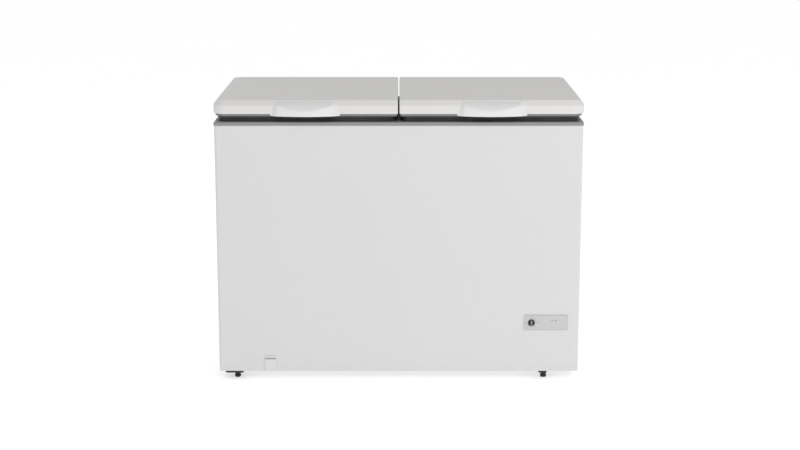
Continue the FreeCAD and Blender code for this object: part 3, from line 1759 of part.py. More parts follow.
def cord_gland():
    gland = turned("cord_gland", [
        (mm.gland_bore, -2 * mm.gland_sheet),
        (mm.gland_radius, -2 * mm.gland_sheet),
        (mm.gland_radius, 0),
        (mm.gland_flange, 0),
        (mm.gland_flange * 0.8, mm.gland_sheet),
        (mm.gland_bore, mm.gland_sheet),
    ])
    return sub_part(place(gland, gland_x, back, gland_z, -90))


# The freezer, piece by piece

cabinet_wrap()
rear_panel()
floor_panel()
bay_panel()
tray()
inner_liner()
foam_insulation()
top_collar()
centre_bar()

for lid_name, lid_side in (("left", -1), ("right", 1)):
    lid_skin(lid_name, lid_side)
    lid_foam(lid_name, lid_side)
    lid_trim(lid_name, lid_side)
    lid_liner(lid_name, lid_side)
    lid_gasket(lid_name, lid_side)
    lid_handle(lid_name, lid_side)

on_axis = [(x, axis_y, axis_z) for x in hinges]
group("hinge_leaves", hinge_leaf(), on_axis)
group("hinge_pins", hinge_pin(), on_axis)
group("hinge_springs", hinge_spring(), on_axis)
arm_master = hinge_arm()
leaf_screw = screw("leaf_screw", mm.leaf_sheet + mm.cabinet_sheet)
arm_screw = screw("arm_screw", mm.leaf_sheet + mm.skin_sheet)
grille_screw = screw("grille_screw", mm.grille_sheet + mm.cabinet_sheet)
heads = [(x, back + mm.leaf_sheet, z) for x, z in leaf_screw_spots]
group("hinge_leaf_screws", leaf_screw, heads, -90)
heads = [(x, back + mm.grille_sheet, z) for x, z in grille_screw_spots]
group("rear_grille_screws", grille_screw, heads, -90)
for lid_name, lid_side in (("left", -1), ("right", 1)):
    group(f"{lid_name}_hinge_arms", arm_master, [(x, axis_y, axis_z) for x in hinge_places(lid_side)])
    heads = [(x, back + mm.leaf_sheet, z) for x, z in arm_screw_spots(lid_side)]
    group(f"{lid_name}_arm_screws", arm_screw, heads, -90)

control_panel()
indicator_lenses()
thermostat_dial()
thermostat()
sensing_bulb()

drain_hose()
drain_cover()
drain_plug()

foot_brackets("left")
foot_brackets("right")
for foot_name, foot_spot in foot_places().items():
    levelling_foot(foot_name, (*foot_spot, 0))

compressor()
compressor_foot_plate()
compressor_mounts()
relay_box()
evaporator_tube()
condenser_tube()
filter_drier()
cooling_lines()

rear_grille()
side_vent()
cord_gland()

doc.recompute()

faults = [thing.Label for thing in doc.Objects if {"Invalid", "Error"} & set(thing.State)]
faults += [part.Label for part in sub_parts if part.Shape.isNull() or not part.Shape.isValid()]
if faults:
    raise RuntimeError(f"these objects failed: {faults}")

os.makedirs("parts", exist_ok=True)
for part in sub_parts:
    part.Shape.exportStep(f"parts/{part.Label}.step")
    box = part.Shape.BoundBox
    print(
        f"{part.Label}: {len(part.Shape.Solids)} solids, {part.Shape.Volume / 1000:.2f} cm3,"
        f" x {box.XMin:.1f} {box.XMax:.1f} y {box.YMin:.1f} {box.YMax:.1f} z {box.ZMin:.1f} {box.ZMax:.1f}"
    )
print(f"{len(sub_parts)} sub-parts")
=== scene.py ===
# %% [markdown]
# # A two-door chest freezer
# The solid pieces of the freezer come from the CAD model, each in its true place. This lesson
# lights them, gives every surface its finish and models the small forms that a solid model leaves
# plain, such as the ribbed seals, the screws and the dial. Everything is in metres, with the front
# of the freezer towards -Y.

# %% Load the frame
import json
import math

import bmesh
import bpy
from mathutils import Matrix, Vector


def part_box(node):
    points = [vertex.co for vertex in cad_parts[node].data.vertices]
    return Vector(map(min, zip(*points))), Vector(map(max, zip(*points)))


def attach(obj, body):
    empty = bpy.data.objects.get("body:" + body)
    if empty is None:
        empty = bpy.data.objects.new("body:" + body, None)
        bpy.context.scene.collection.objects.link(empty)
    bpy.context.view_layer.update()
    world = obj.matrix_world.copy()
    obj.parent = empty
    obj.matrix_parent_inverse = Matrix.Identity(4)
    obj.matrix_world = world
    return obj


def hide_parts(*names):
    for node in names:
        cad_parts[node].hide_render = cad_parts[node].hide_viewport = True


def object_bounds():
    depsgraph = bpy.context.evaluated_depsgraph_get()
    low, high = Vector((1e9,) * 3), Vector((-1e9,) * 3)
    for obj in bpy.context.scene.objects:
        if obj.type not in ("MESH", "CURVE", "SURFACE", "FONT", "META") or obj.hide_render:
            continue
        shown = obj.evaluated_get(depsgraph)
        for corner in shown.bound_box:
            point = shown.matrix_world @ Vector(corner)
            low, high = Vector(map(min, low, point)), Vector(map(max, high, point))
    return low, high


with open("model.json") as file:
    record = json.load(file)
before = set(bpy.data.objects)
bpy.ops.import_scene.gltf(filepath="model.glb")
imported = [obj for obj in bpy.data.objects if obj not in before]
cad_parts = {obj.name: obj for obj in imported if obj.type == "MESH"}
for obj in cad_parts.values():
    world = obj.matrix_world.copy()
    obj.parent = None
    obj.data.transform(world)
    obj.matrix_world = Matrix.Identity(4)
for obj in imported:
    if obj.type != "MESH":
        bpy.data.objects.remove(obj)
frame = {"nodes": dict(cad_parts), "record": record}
cad_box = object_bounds()
nodes = frame["nodes"]
slot_of = {row["node"]: row["material_slot"] for row in frame["record"]["subparts"]}
scene = bpy.context.scene
print(f"{len(nodes)} solid pieces, box {[round(v, 3) for corner in cad_box for v in corner]}")

# %% [markdown]
# ## Camera
# The photograph was taken from the front, a little above the lids, with a shifted lens that keeps
# upright lines upright. A shift would slide the freezer out of the other views, so this camera is
# tilted down instead, at the distance and focal length that keep the corners of the body and the
# lids nearest to their places.

# %% Camera
CAMERA_PLACE = (0.004, -5.115, 1.526)
CAMERA_TILT = 12.12
LENS = 72.95


def placed(name, data):
    """A new object in the scene."""
    made = bpy.data.objects.new(name, data)
    scene.collection.objects.link(made)
    return made


camera = placed("camera", bpy.data.cameras.new("camera"))
camera.location = CAMERA_PLACE
camera.rotation_euler = (math.radians(90 - CAMERA_TILT), 0, 0)
camera.data.lens = LENS
scene.camera = camera
print(f"camera {LENS:.0f} mm, {CAMERA_TILT} degrees down")

# %% [markdown]
# ## Light
# White goods are photographed in a white room. A single strong lamp would throw hard shadows, so
# an even sky gives the soft base. One large softbox at the front right makes the front brighter
# than the lid tops, as in the picture, and a weaker one at the left rear draws the edges. A small
# one low on the right lifts the front's right end.

# %% Light
BODY_MIDDLE = Vector((0, 0, 0.45))
SKY_STRENGTH = 0.605
SOFTBOXES = {
    "key_light": ((2.0, -4.0, 3.2), 2.4, 54),
    "side_light": ((2.0, -1.9, 1.0), 1.0, 2.6),
    "rear_light": ((-2.2, 3.4, 2.6), 2.0, 18),
}
for light_name, (place, size, power) in SOFTBOXES.items():
    lamp = bpy.data.lights.new(light_name, "AREA")
    lamp.shape = "SQUARE"
    lamp.size = size
    lamp.energy = power
    softbox = placed(light_name, lamp)
    softbox.location = place
    aim = BODY_MIDDLE - Vector(place)
    softbox.rotation_euler = aim.to_track_quat("-Z", "Y").to_euler()
    print(f"{light_name}: {size} m across, {power} W")

world = bpy.data.worlds.new("studio")
world.use_nodes = True
sky = world.node_tree.nodes["Background"]
sky.inputs["Color"].default_value = (1.0, 1.0, 1.0, 1.0)
sky.inputs["Strength"].default_value = SKY_STRENGTH
scene.world = world
scene.view_settings.view_transform = "Standard"

# %% [markdown]
# ## Sums with sockets
# A finish is a small sum: a noise times a strength, one minus a mask. Drawn as nodes by hand, such
# sums are slow to read. This class wraps the output of a node, so that `1 - mask * 0.3` adds the
# Math nodes by itself. One method makes every other kind of node: its settings first, then the
# values or links of its sockets. The geometry trees further down use it too.


# %% The Flow class
def sum_of(operation, reflected=False):
    """A method for a sum with a value, which stands on the left if reflected."""

    def method(self, value=0.0):
        first, second = (value, self) if reflected else (self, value)
        return self.node("ShaderNodeMath", {0: first, 1: second}, {"operation": operation})

    return method


class Flow:
    """The output of a node, which can be used in a sum like a number."""

    def __init__(self, tree, output):
        self.tree = tree
        self.output = output

    def node(self, kind, sockets=None, settings=None, give=0):
        """A new node in the same tree, as the flow out of one of its outputs."""
        made = self.tree.nodes.new(kind)
        for name, value in (settings or {}).items():
            setattr(made, name, value)
        for name, value in (sockets or {}).items():
            if isinstance(value, Flow):
                self.tree.links.new(value.output, made.inputs[name])
            else:
                made.inputs[name].default_value = value
        return Flow(self.tree, made.outputs[give])

    def other(self, name):
        """Another output of the same node."""
        return Flow(self.tree, self.output.node.outputs[name])

    __add__ = sum_of("ADD")
    __radd__ = sum_of("ADD", reflected=True)
    __sub__ = sum_of("SUBTRACT")
    __rsub__ = sum_of("SUBTRACT", reflected=True)
    __mul__ = sum_of("MULTIPLY")
    __rmul__ = sum_of("MULTIPLY", reflected=True)
    __truediv__ = sum_of("DIVIDE")
    __pow__ = sum_of("POWER")
    __abs__ = sum_of("ABSOLUTE")
    at_most = sum_of("MINIMUM")
    at_least = sum_of("MAXIMUM")
    sign = sum_of("SIGN")
    sine = sum_of("SINE")
    cosine = sum_of("COSINE")
    exponent = sum_of("EXPONENT")


print("reflected sums:", [name for name in vars(Flow) if name.startswith("__r")])

# %% [markdown]
# ## Finishes
# Images wrapped round the pieces would stretch and blur close by. So every finish starts from
# Object coordinates, which are the freezer's own metres, and a grain has its real size on every
# piece. A recipe works out the colour, the roughness and the normal, which change over a surface.
# What is the same all over is set straight on the shader.

# %% Finish helpers
FED_SOCKETS = ("Base Color", "Roughness", "Normal")
# A Mix node has sockets of the same name for numbers and colours, so these go by number.
MIX_SHARE, MIX_FIRST, MIX_SECOND, MIX_RESULT = 0, 6, 7, 2
finishes = {}


def finished(name, recipe, **shader_values):
    """Keeps a material whose recipe feeds the first of the sockets, or all three."""
    made = bpy.data.materials.new(name)
    made.use_nodes = True
    tree = made.node_tree
    shader = tree.nodes["Principled BSDF"]
    for socket, value in shader_values.items():
        shader.inputs[socket.replace("_", " ")].default_value = value
    place = Flow(tree, tree.nodes.new("ShaderNodeTexCoord").outputs["Object"])
    for socket, flow in zip(FED_SOCKETS, recipe(place)):
        tree.links.new(flow.output, shader.inputs[socket])
    finishes[name] = made
    print(f"{name}: {len(tree.nodes)} nodes")


def grain(place, scale, detail, stretch=(1.0, 1.0, 1.0)):
    """Noise with so many waves to the metre, drawn out along an axis if wished."""
    laid = place.node("ShaderNodeMapping", {"Vector": place, "Scale": stretch})
    return place.node("ShaderNodeTexNoise", {"Vector": laid, "Scale": scale, "Detail": detail})


def limited(flow):
    return flow.at_most(1.0).at_least(0.0)


def patches(place, scale, detail, start, slope):
    """Noise that is nothing up to a start and then rises by a slope, at most to 1."""
    return limited((grain(place, scale, detail) - start) * slope)


def mixed(share, first, second):
    """One colour where the share is 0, the other where it is 1."""
    colours = {MIX_SHARE: share, MIX_FIRST: first, MIX_SECOND: second}
    return share.node("ShaderNodeMix", colours, {"data_type": "RGBA"}, MIX_RESULT)


def grey(value, warm=0.0):
    return (value + warm, value, value - warm, 1.0)


def bumped(relief, depth, strength):
    """A normal that is tilted by a relief, whose depth is in metres."""
    sockets = {"Height": relief, "Distance": depth, "Strength": strength}
    return relief.node("ShaderNodeBump", sockets)


# %% [markdown]
# ### White enamel
# The cabinet and the lid skins are coated steel. Plain white would look like paper. A coated sheet
# has the fine dimples of orange peel, which show as a soft gloss, so a fine noise tilts the
# surface. A slow cloud moves the white by a percent and a little dust lies near the floor. The lids
# are painted the same white, but take a lighter and warmer copy of it, which is painted light.

# %% White enamel
CLOUD_SPREAD = 0.012
DUST_TOP = 0.085
DUST_FADE = 0.07
DUST_MOST = 0.22


def white_enamel(name, tone, warm):
    def recipe(place):
        cloud = grain(place, 2.5, 3.0)
        clean = mixed(cloud, grey(tone - CLOUD_SPREAD, warm), grey(tone + CLOUD_SPREAD, warm))
        height = place.node("ShaderNodeSeparateXYZ", {"Vector": place}).other("Z")
        low = limited((DUST_TOP - height) / DUST_FADE)
        dust = low * patches(place, 38.0, 5.0, 0.42, 3.0) * DUST_MOST
        colour = mixed(dust, clean, grey(0.56, 0.012))
        roughness = 0.36 + cloud * 0.06 + dust * 0.5
        return colour, roughness, bumped(grain(place, 330.0, 1.0), 0.00025, 0.35)

    finished(name, recipe, IOR=1.45, Specular_IOR_Level=0.35)


white_enamel("white_paint", 0.694, 0.0)
# The lids' copy is lighter and warmer than the cabinet's: painted light on the same paint.
white_enamel("lid_lit_enamel", 0.718, 0.010)

# %% [markdown]
# ### Moulded plastics
# The handles, the vent and the lid liners are white plastic, the collar and the lid trims grey,
# and the feet, the grille and the thermostat black. Each could have a tree of its own, but all are
# moulded alike, so one recipe serves them in many tones: a fine spark-eroded grain, a slight flow
# pattern in the colour and a gloss that varies a little.


# %% Moulded plastics
def moulded(name, tone, gloss, warm=0.0, spread=0.03):
    def recipe(place):
        flow_lines = grain(place, 9.0, 3.0, (0.35, 1.0, 1.0))
        speck = grain(place, 1400.0, 1.0)
        share = limited(flow_lines * 0.7 + speck * 0.3)
        colour = mixed(share, grey(tone * (1 - spread), warm), grey(tone * (1 + spread), warm))
        return colour, gloss + speck * 0.08, bumped(grain(place, 900.0, 2.0), 0.00012, 0.5)

    finished(name, recipe, IOR=1.49, Specular_IOR_Level=0.4)


moulded("white_plastic", 0.705, 0.34, 0.002)
moulded("grey_plastic", 0.285, 0.42)
moulded("panel_plastic", 0.580, 0.40)
moulded("black_plastic", 0.030, 0.45, spread=0.15)
# A darker copy of the grey plastic for the lid trims, painted shade under the lids' front edge.
moulded("trim_shaded_grey", 0.205, 0.42)
# A lighter copy of the white plastic for the pull hoods, painted light on their crowns.
moulded("hood_lit_white", 0.76, 0.34, 0.002)

# %% [markdown]
# ### Rubber
# The seals, grommets and plugs are black rubber. A flat black would hide their shape. Rubber is
# matt, with a pale bloom in patches, so a cloud of noise lifts the black a little and makes it
# rougher there.


# %% Rubber
def rubber(place):
    bloom = patches(place, 24.0, 4.0, 0.4, 2.2)
    colour = mixed(bloom, grey(0.048), grey(0.086))
    return colour, 0.55 + bloom * 0.2, bumped(grain(place, 700.0, 2.0), 0.0002, 0.4)


finished("black_rubber", rubber, Specular_IOR_Level=0.3)

# %% [markdown]
# ### Metals
# The rear and floor sheets are galvanised: crystals of zinc lie side by side, each with its own
# grey. Noise would blur them together, so a Voronoi texture gives them as flat cells. The tank is
# embossed aluminium, with rounded dimples a few millimetres apart. Screws and hinges are drawn
# steel with fine streaks, and the tubes are copper that has browned in patches.


# %% Metals
def cells(place, scale, feature="F1", **more):
    sockets = {"Vector": place, "Scale": scale, **more}
    return place.node("ShaderNodeTexVoronoi", sockets, {"feature": feature})


def zinc(place):
    crystal = cells(place, 130.0).other("Color")
    share = place.node("ShaderNodeSeparateColor", {"Color": crystal})
    share = limited(share * 0.65 + grain(place, 6.0, 3.0) * 0.35)
    colour = mixed(share, grey(0.50, -0.004), grey(0.61, -0.004))
    return colour, 0.42 + share * 0.16, bumped(share, 0.00008, 0.5)


def aluminium(place):
    dimples = cells(place, 150.0, "SMOOTH_F1", Smoothness=0.6)
    cloud = grain(place, 3.0, 2.0)
    colour = mixed(cloud, grey(0.80, -0.003), grey(0.86, -0.003))
    return colour, 0.36 + cloud * 0.10, bumped(dimples, 0.0011, 0.6)


def steel(place):
    streaks = grain(place, 160.0, 3.0, (0.08, 1.0, 1.0))
    tarnish = patches(place, 45.0, 4.0, 0.5, 2.0)
    colour = mixed(tarnish, grey(0.60), grey(0.42, 0.012))
    return colour, 0.30 + streaks * 0.16 + tarnish * 0.15, bumped(streaks, 0.00005, 0.4)


def copper(place):
    brown = patches(place, 30.0, 4.0, 0.42, 2.4)
    colour = mixed(brown, (0.78, 0.42, 0.27, 1.0), (0.36, 0.19, 0.12, 1.0))
    return colour, 0.28 + brown * 0.25, bumped(grain(place, 420.0, 2.0), 0.00006, 0.4)


finished("zinc_sheet", zinc, Metallic=0.85)
finished("liner_metal", aluminium, Metallic=0.45)
finished("steel", steel, Metallic=1.0)
finished("copper_tube", copper, Metallic=1.0)

# %% [markdown]
# ### Compressor paint, foam and lamp lens
# The compressor is sprayed gloss black. The foam is yellow with fine cells, and hidden until a
# sheet is taken off. A clear lamp lens would need light from behind, and the lamps are off, so a
# coat over a dull tint does. Then every solid takes the finish that the CAD record names for it,
# except the lids' skins and trims: the skins take a lighter, warmer copy of the white, which is
# painted light, and the trims a darker copy of the grey, which is painted shade.


# %% Compressor paint, foam and lens
def sprayed_black(place):
    runs = grain(place, 60.0, 2.0, (1.0, 1.0, 0.4))
    colour = mixed(runs, grey(0.012), grey(0.026))
    return colour, 0.26 + runs * 0.12, bumped(grain(place, 260.0, 1.0), 0.0003, 0.4)


def foam(place):
    age = grain(place, 5.0, 3.0)
    colour = mixed(age, (0.82, 0.70, 0.42, 1.0), (0.74, 0.58, 0.30, 1.0))
    return colour, 0.85 + age * 0.1, bumped(cells(place, 900.0), 0.0006, 0.6)


def lamp_lens(place):
    depth = grain(place, 300.0, 1.0)
    colour = mixed(depth, (0.30, 0.33, 0.29, 1.0), (0.46, 0.50, 0.44, 1.0))
    return colour, 0.16 + depth * 0.06


finished("compressor_paint", sprayed_black, Coat_Weight=0.4, Coat_Roughness=0.2)
finished("foam", foam, Specular_IOR_Level=0.15)
finished("lens", lamp_lens, Coat_Weight=0.8, Coat_Roughness=0.08)

# %% Finish of the solids
# Lid skins: a lighter, warmer copy of the white, painted light. Lid trims: a darker copy of the
# grey, painted shade.
LID_FINISHES = {"lid_skin": "lid_lit_enamel", "lid_trim": "trim_shaded_grey"}
for node_name, solid in nodes.items():
    after_side = node_name.partition("_")[2]
    solid.data.materials.clear()
    solid.data.materials.append(finishes[LID_FINISHES.get(after_side, slot_of[node_name])])
print(f"{len(finishes)} finishes for {len(nodes)} solids")

# %% [markdown]
# ## Floor
# A pale disc, wide enough to fill the picture to its top edge, which a wall would cut with a line.
# A faint cloud keeps it from looking like a cut-out, and a share of its own light keeps it white
# where the freezer shades it.

# %% Floor
FLOOR_RADIUS = 40.0
FLOOR_GLOW = 0.50


def pale_floor(place):
    return [mixed(grain(place, 0.8, 3.0), grey(0.80), grey(0.82))]


def mesh_of(shape):
    """The mesh of a shape, which is then let go."""
    mesh = bpy.data.meshes.new("mesh")
    shape.to_mesh(mesh)
    shape.free()
    return mesh


glow = {"Emission_Color": grey(1.0), "Emission_Strength": FLOOR_GLOW}
finished("pale_floor", pale_floor, Specular_IOR_Level=0.1, Roughness=0.8, **glow)
disc = bmesh.new()
bmesh.ops.create_circle(disc, cap_ends=True, segments=96, radius=FLOOR_RADIUS)
floor = placed("floor", mesh_of(disc))
floor.data.materials.append(finishes["pale_floor"])
print("floor", FLOOR_RADIUS, "m")

# %% [markdown]
# ## From numbers to a piece
# A piece is a mesh in its final place, a finish, the body that it moves with and the solid that it
# stands for. These helpers make that in one call, merge doubled points, turn the faces outwards
# and shade smooth, but keep edges sharp where two faces meet at more than a given angle.

# %% Mesh helpers
WELD = 1e-6


def closed_mesh(shape):
    """The mesh of a closed shape, with doubled points merged and its faces outwards."""
    bmesh.ops.remove_doubles(shape, verts=shape.verts, dist=WELD)
    bmesh.ops.dissolve_degenerate(shape, edges=shape.edges, dist=WELD)
    bmesh.ops.recalc_face_normals(shape, faces=shape.faces)
    if shape.calc_volume(signed=True) < 0:
        bmesh.ops.reverse_faces(shape, faces=shape.faces)
    return mesh_of(shape)


def mesh_from(points, faces):
    """A closed mesh from points and the faces between them."""
    shape = bmesh.new()
    corners = [shape.verts.new(spot) for spot in points]
    for face in faces:
        shape.faces.new([corners[i] for i in face])
    return closed_mesh(shape)


def grid_faces(rows, columns, first=0, closed=False):
    """Quads between rows of points, joined back to the first column if closed."""
    faces = []
    for row in range(rows - 1):
        here = first + row * columns
        above = here + columns
        for one in range(columns if closed else columns - 1):
            two = (one + 1) % columns
            faces.append((here + one, here + two, above + two, above + one))
    return faces


def shell_faces(rows, columns):
    """Faces of a sheet, of the same sheet further in, and of the rim between them."""
    second = rows * columns
    lines = [range(column, second, columns) for column in (0, columns - 1)]
    lines += [range(row * columns, (row + 1) * columns) for row in (0, rows - 1)]
    edges = [pair for line in lines for pair in zip(line, line[1:])]
    rim = [(one, two, second + two, second + one) for one, two in edges]
    return grid_faces(rows, columns) + grid_faces(rows, columns, second) + rim


print("a shell of 3 by 4 points:", len(shell_faces(3, 4)), "faces")


# %% Piece helpers
def smoothed(mesh, sharp_over):
    for face in mesh.polygons:
        face.use_smooth = True
    mesh.set_sharp_from_angle(angle=math.radians(sharp_over))
    return mesh


def piece(name, mesh, body, slot, *replaced, finish=None):
    """A finished piece that rides on a body."""
    mesh.name = name
    mesh.materials.clear()
    mesh.materials.append(finishes[finish or slot])
    made = placed(name, mesh)
    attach(made, body)
    if replaced:
        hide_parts(*replaced)
    print(f"{name}: {len(mesh.polygons)} faces on {body}")


def middle_of(box, **instead):
    """The middle of a box, with other values on some axes if wished."""
    middle = (box[0] + box[1]) / 2
    for axis, value in instead.items():
        setattr(middle, axis, value)
    return middle


def moved(mesh, place):
    mesh.transform(Matrix.Translation(place))
    return mesh


print("middle of the freezer:", [round(v, 3) for v in middle_of(cad_box)])

# %% [markdown]
# ## Pull hoods
# Each lid is lifted by a hood on its front: bowed in plan, crowned from above and open below for
# the fingers. Its solid has sharp edges, but a moulded hood is round everywhere. Bevels would not
# run out softly, so its surface is worked out as a rule: a side view that a bow pushes out of the
# lid, and that sinks softly back over the last two centimetres of each end. An inner surface one
# wall further in closes the shell.

# %% Side view of a hood
CROWN_SAMPLES = 40
CROWN_STEPS = 9
NOSE_STEPS = 6
LIP_STEPS = 3
HOOD_CROWN = 0.004
NOSE_ROUND = 0.013
NOSE_DROP = 0.0008
NOSE_LEAST = 0.004
LIP_ROUND = 0.0014
LIP_BACK = Vector((0.004, 0))
HAIR = 1e-5


def rounded_corner(before, corner, after, radius, steps):
    """Points of a bend that replaces a corner of a flat path."""
    one = (before - corner).normalized()
    two = (after - corner).normalized()
    half = one.angle(two) / 2
    reach = min(radius / math.tan(half), (before - corner).length, (after - corner).length)
    start = corner + one * reach
    end = corner + two * reach
    shares = [step / steps for step in range(steps + 1)]
    return [start * (1 - t) ** 2 + corner * 2 * t * (1 - t) + end * t**2 for t in shares]


def hood_profile(tip, nose_top, low, reach, wall):
    """Side view from the tip down to the lip, as points of distance out and height."""
    chord = tip - nose_top
    outward = Vector((chord.y, -chord.x)).normalized()
    crown = []
    for step in range(CROWN_SAMPLES + 1):
        share = 1 - step / CROWN_SAMPLES
        rise = HOOD_CROWN * 4 * share * (1 - share) - wall
        spot = nose_top + chord * share + outward * rise
        if spot.x < reach - wall - HAIR:
            crown.append(spot)
    corner = Vector((reach - wall, max(crown[-1].y - NOSE_DROP, low + NOSE_LEAST)))
    last = len(crown) - 1
    crown = [crown[round(step * last / CROWN_STEPS)] for step in range(CROWN_STEPS + 1)]
    bottom = Vector((reach - wall, low))
    nose = rounded_corner(crown[-2], corner, bottom, NOSE_ROUND, NOSE_STEPS)
    lip = rounded_corner(nose[-1], bottom, bottom - LIP_BACK, LIP_ROUND, LIP_STEPS)
    return crown[:-1] + nose + lip


print("points of a side view:", CROWN_STEPS + NOSE_STEPS + 1 + LIP_STEPS + 1)

# %% Pull hoods
STATIONS = 72
END_CROWDING = 0.35
HOOD_WALL = 0.003
HOOD_LIP = 0.016
HOOD_END_REACH = 0.005
HOOD_END_BLEND = 0.020
HOOD_SLANT = 0.008
HOOD_CORNER = 0.004
BEVEL_HEIGHT = 0.016
BEVEL_DEPTH = 0.011
SINK = 0.0002


def along_hood(station):
    """From -1 to 1 along the hood, with the stations closer together at its ends."""
    share = station / STATIONS
    return -END_CROWDING * math.cos(math.pi * share) + (1 - END_CROWDING) * (2 * share - 1)


def pull_hood(side):
    node = f"{side}_lid_handle"
    low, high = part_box(node)
    skin_low, skin_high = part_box(f"{side}_lid_skin")

    def lid_front(height):
        """How far the lid's front has gone back: none on the fascia, more on the bevel."""
        return -max(0.0, height - skin_high.z + BEVEL_HEIGHT) * BEVEL_DEPTH / BEVEL_HEIGHT

    full_reach = skin_low.y - low.y
    tip = Vector((lid_front(high.z), high.z))
    nose_top = Vector((full_reach, low.z + HOOD_LIP))
    points = []
    for wall in (0.0, HOOD_WALL):
        half_width = (high.x - low.x) / 2 - wall
        for station in range(STATIONS + 1):
            place = along_hood(station)
            to_end = (1 - abs(place)) * half_width
            bow = full_reach - (full_reach - HOOD_END_REACH) * place**2
            ease = min(1.0, to_end / HOOD_END_BLEND)
            out = ease * ease * (3 - 2 * ease)
            corner = max(0.0, 1 - to_end / HOOD_CORNER)
            corner_rise = HOOD_CORNER * (1 - math.sqrt(1 - corner * corner))
            for spot in hood_profile(tip, nose_top, low.z, bow, wall):
                behind = lid_front(spot.y) - SINK
                distance = behind + max(0.0, spot.x - behind) * out
                lean = HOOD_SLANT * (spot.y - low.z) / (high.z - low.z)
                near_bottom = max(0.0, 1 - (spot.y - low.z) / (2 * HOOD_CORNER))
                x = (low.x + high.x) / 2 + place * (half_width - lean)
                points.append((x, skin_low.y - distance, spot.y + corner_rise * near_bottom))
    faces = shell_faces(STATIONS + 1, len(points) // (2 * (STATIONS + 1)))
    mesh = smoothed(mesh_from(points, faces), 50)
    # The hood takes the lighter copy of the white plastic, which is painted light.
    piece(f"{side}_pull_hood", mesh, f"{side}_lid", "white_plastic", node, finish="hood_lit_white")


for lid_side in ("left", "right"):
    pull_hood(lid_side)

# %% [markdown]
# ## Geometry trees
# What repeats or follows a path could be laid out in Python loops, but a Geometry Nodes tree keeps
# its sizes as named inputs that can be changed later. The script sets them by the socket's
# identifier. Each tree ends in Realize Instances and Set Material, so that the result is one plain
# mesh. The helper makes a tree round a function that draws its middle part.

# %% Growing a mesh
SOCKET_KINDS = {
    float: "NodeSocketFloat",
    int: "NodeSocketInt",
    Vector: "NodeSocketVector",
    bpy.types.Object: "NodeSocketObject",
}


def taken(holder):
    """The final mesh of an object, which is then removed."""
    ready = holder.evaluated_get(bpy.context.evaluated_depsgraph_get())
    mesh = bpy.data.meshes.new_from_object(ready)
    holder.modifiers.clear()
    bpy.data.objects.remove(holder)
    return mesh


def grown(name, draw, sizes, finish, seed_mesh=None):
    """The mesh that a geometry tree makes from named sizes and, if wished, a seed mesh."""
    tree = bpy.data.node_groups.new(name, "GeometryNodeTree")
    outside = tree.interface
    outside.new_socket("Geometry", in_out="INPUT", socket_type="NodeSocketGeometry")
    for label, value in sizes.items():
        outside.new_socket(label, in_out="INPUT", socket_type=SOCKET_KINDS[type(value)])
    outside.new_socket("Geometry", in_out="OUTPUT", socket_type="NodeSocketGeometry")
    entry = tree.nodes.new("NodeGroupInput")
    shape = draw({label: Flow(tree, entry.outputs[label]) for label in ["Geometry", *sizes]})
    shape = shape.node("GeometryNodeRealizeInstances", {"Geometry": shape})
    dressed = {"Geometry": shape, "Material": finishes[finish]}
    shape = shape.node("GeometryNodeSetMaterial", dressed)
    leave = tree.nodes.new("NodeGroupOutput")
    tree.links.new(shape.output, leave.inputs["Geometry"])
    holder = placed(name, seed_mesh or bpy.data.meshes.new(name))
    modifier = holder.modifiers.new(name, "NODES")
    modifier.node_group = tree
    for item in outside.items_tree:
        if item.in_out == "INPUT" and item.name in sizes:
            modifier[item.identifier] = sizes[item.name]
    return taken(holder)


print("kinds of input:", list(SOCKET_KINDS.values()))


# %% Nodes for many trees
def seed_points(spots):
    """A mesh of loose points for a tree to put things on."""
    mesh = bpy.data.meshes.new("points")
    mesh.from_pydata([tuple(spot) for spot in spots], [], [])
    return mesh


def vector(flow, **axes):
    return flow.node("ShaderNodeCombineXYZ", axes)


def rotation(flow, **angles):
    return flow.node("FunctionNodeEulerToRotation", {"Euler": vector(flow, **angles)})


def circle(flow, sides, radius):
    sockets = {"Resolution": sides, "Radius": radius}
    return flow.node("GeometryNodeCurvePrimitiveCircle", sockets)


def bent(shape, spots):
    """A shape whose points are moved to other spots."""
    return shape.node("GeometryNodeSetPosition", {"Geometry": shape, "Position": spots})


def put(shape, place, turn=(0.0, 0.0, 0.0)):
    sockets = {"Geometry": shape, "Translation": place, "Rotation": turn}
    return shape.node("GeometryNodeTransform", sockets)


def copies(points, shape, **more):
    """A copy of a shape on every point."""
    sockets = {"Points": points, "Instance": shape, **more}
    return points.node("GeometryNodeInstanceOnPoints", sockets)


def strip_round(given, section, corner_steps, turn=(0.0, 0.0, 0.0)):
    """A section run round a rectangle with round corners, turned and put in its place."""
    sides = {"Width": given["Length"], "Height": given["Depth"]}
    way = section.node("GeometryNodeCurvePrimitiveQuadrilateral", sides)
    corners = {"Curve": way, "Radius": given["Corner"], "Count": corner_steps}
    way = way.node("GeometryNodeFilletCurve", corners, {"mode": "POLY"})
    swept = way.node("GeometryNodeCurveToMesh", {"Curve": way, "Profile Curve": section})
    return put(swept, given["Middle"], turn)


# %% [markdown]
# ## Ribbed seals
# A lid seal is a hollow rubber strip: a magnet in the bulb below, a bellows that gives, and a foot
# in the lid trim. The section could be drawn point by point. Here a circle is squared off and
# pinched at two heights by a sum in the tree, and Curve to Mesh runs it round the lid.

# %% Ribbed seals
SEAL_WIDTH = 0.020
SEAL_CORNER = 0.014
SEAL_PINCH = 0.42
SQUARENESS = 0.3


def squared(flow):
    """Pushes a value between -1 and 1 towards its ends, which makes a circle a rounded square."""
    return flow.sign() * abs(flow) ** SQUARENESS


def notch(flow, place, sharpness):
    """One at a place, and soon nothing to both sides of it."""
    away = flow - place
    return (away * away * -sharpness).exponent()


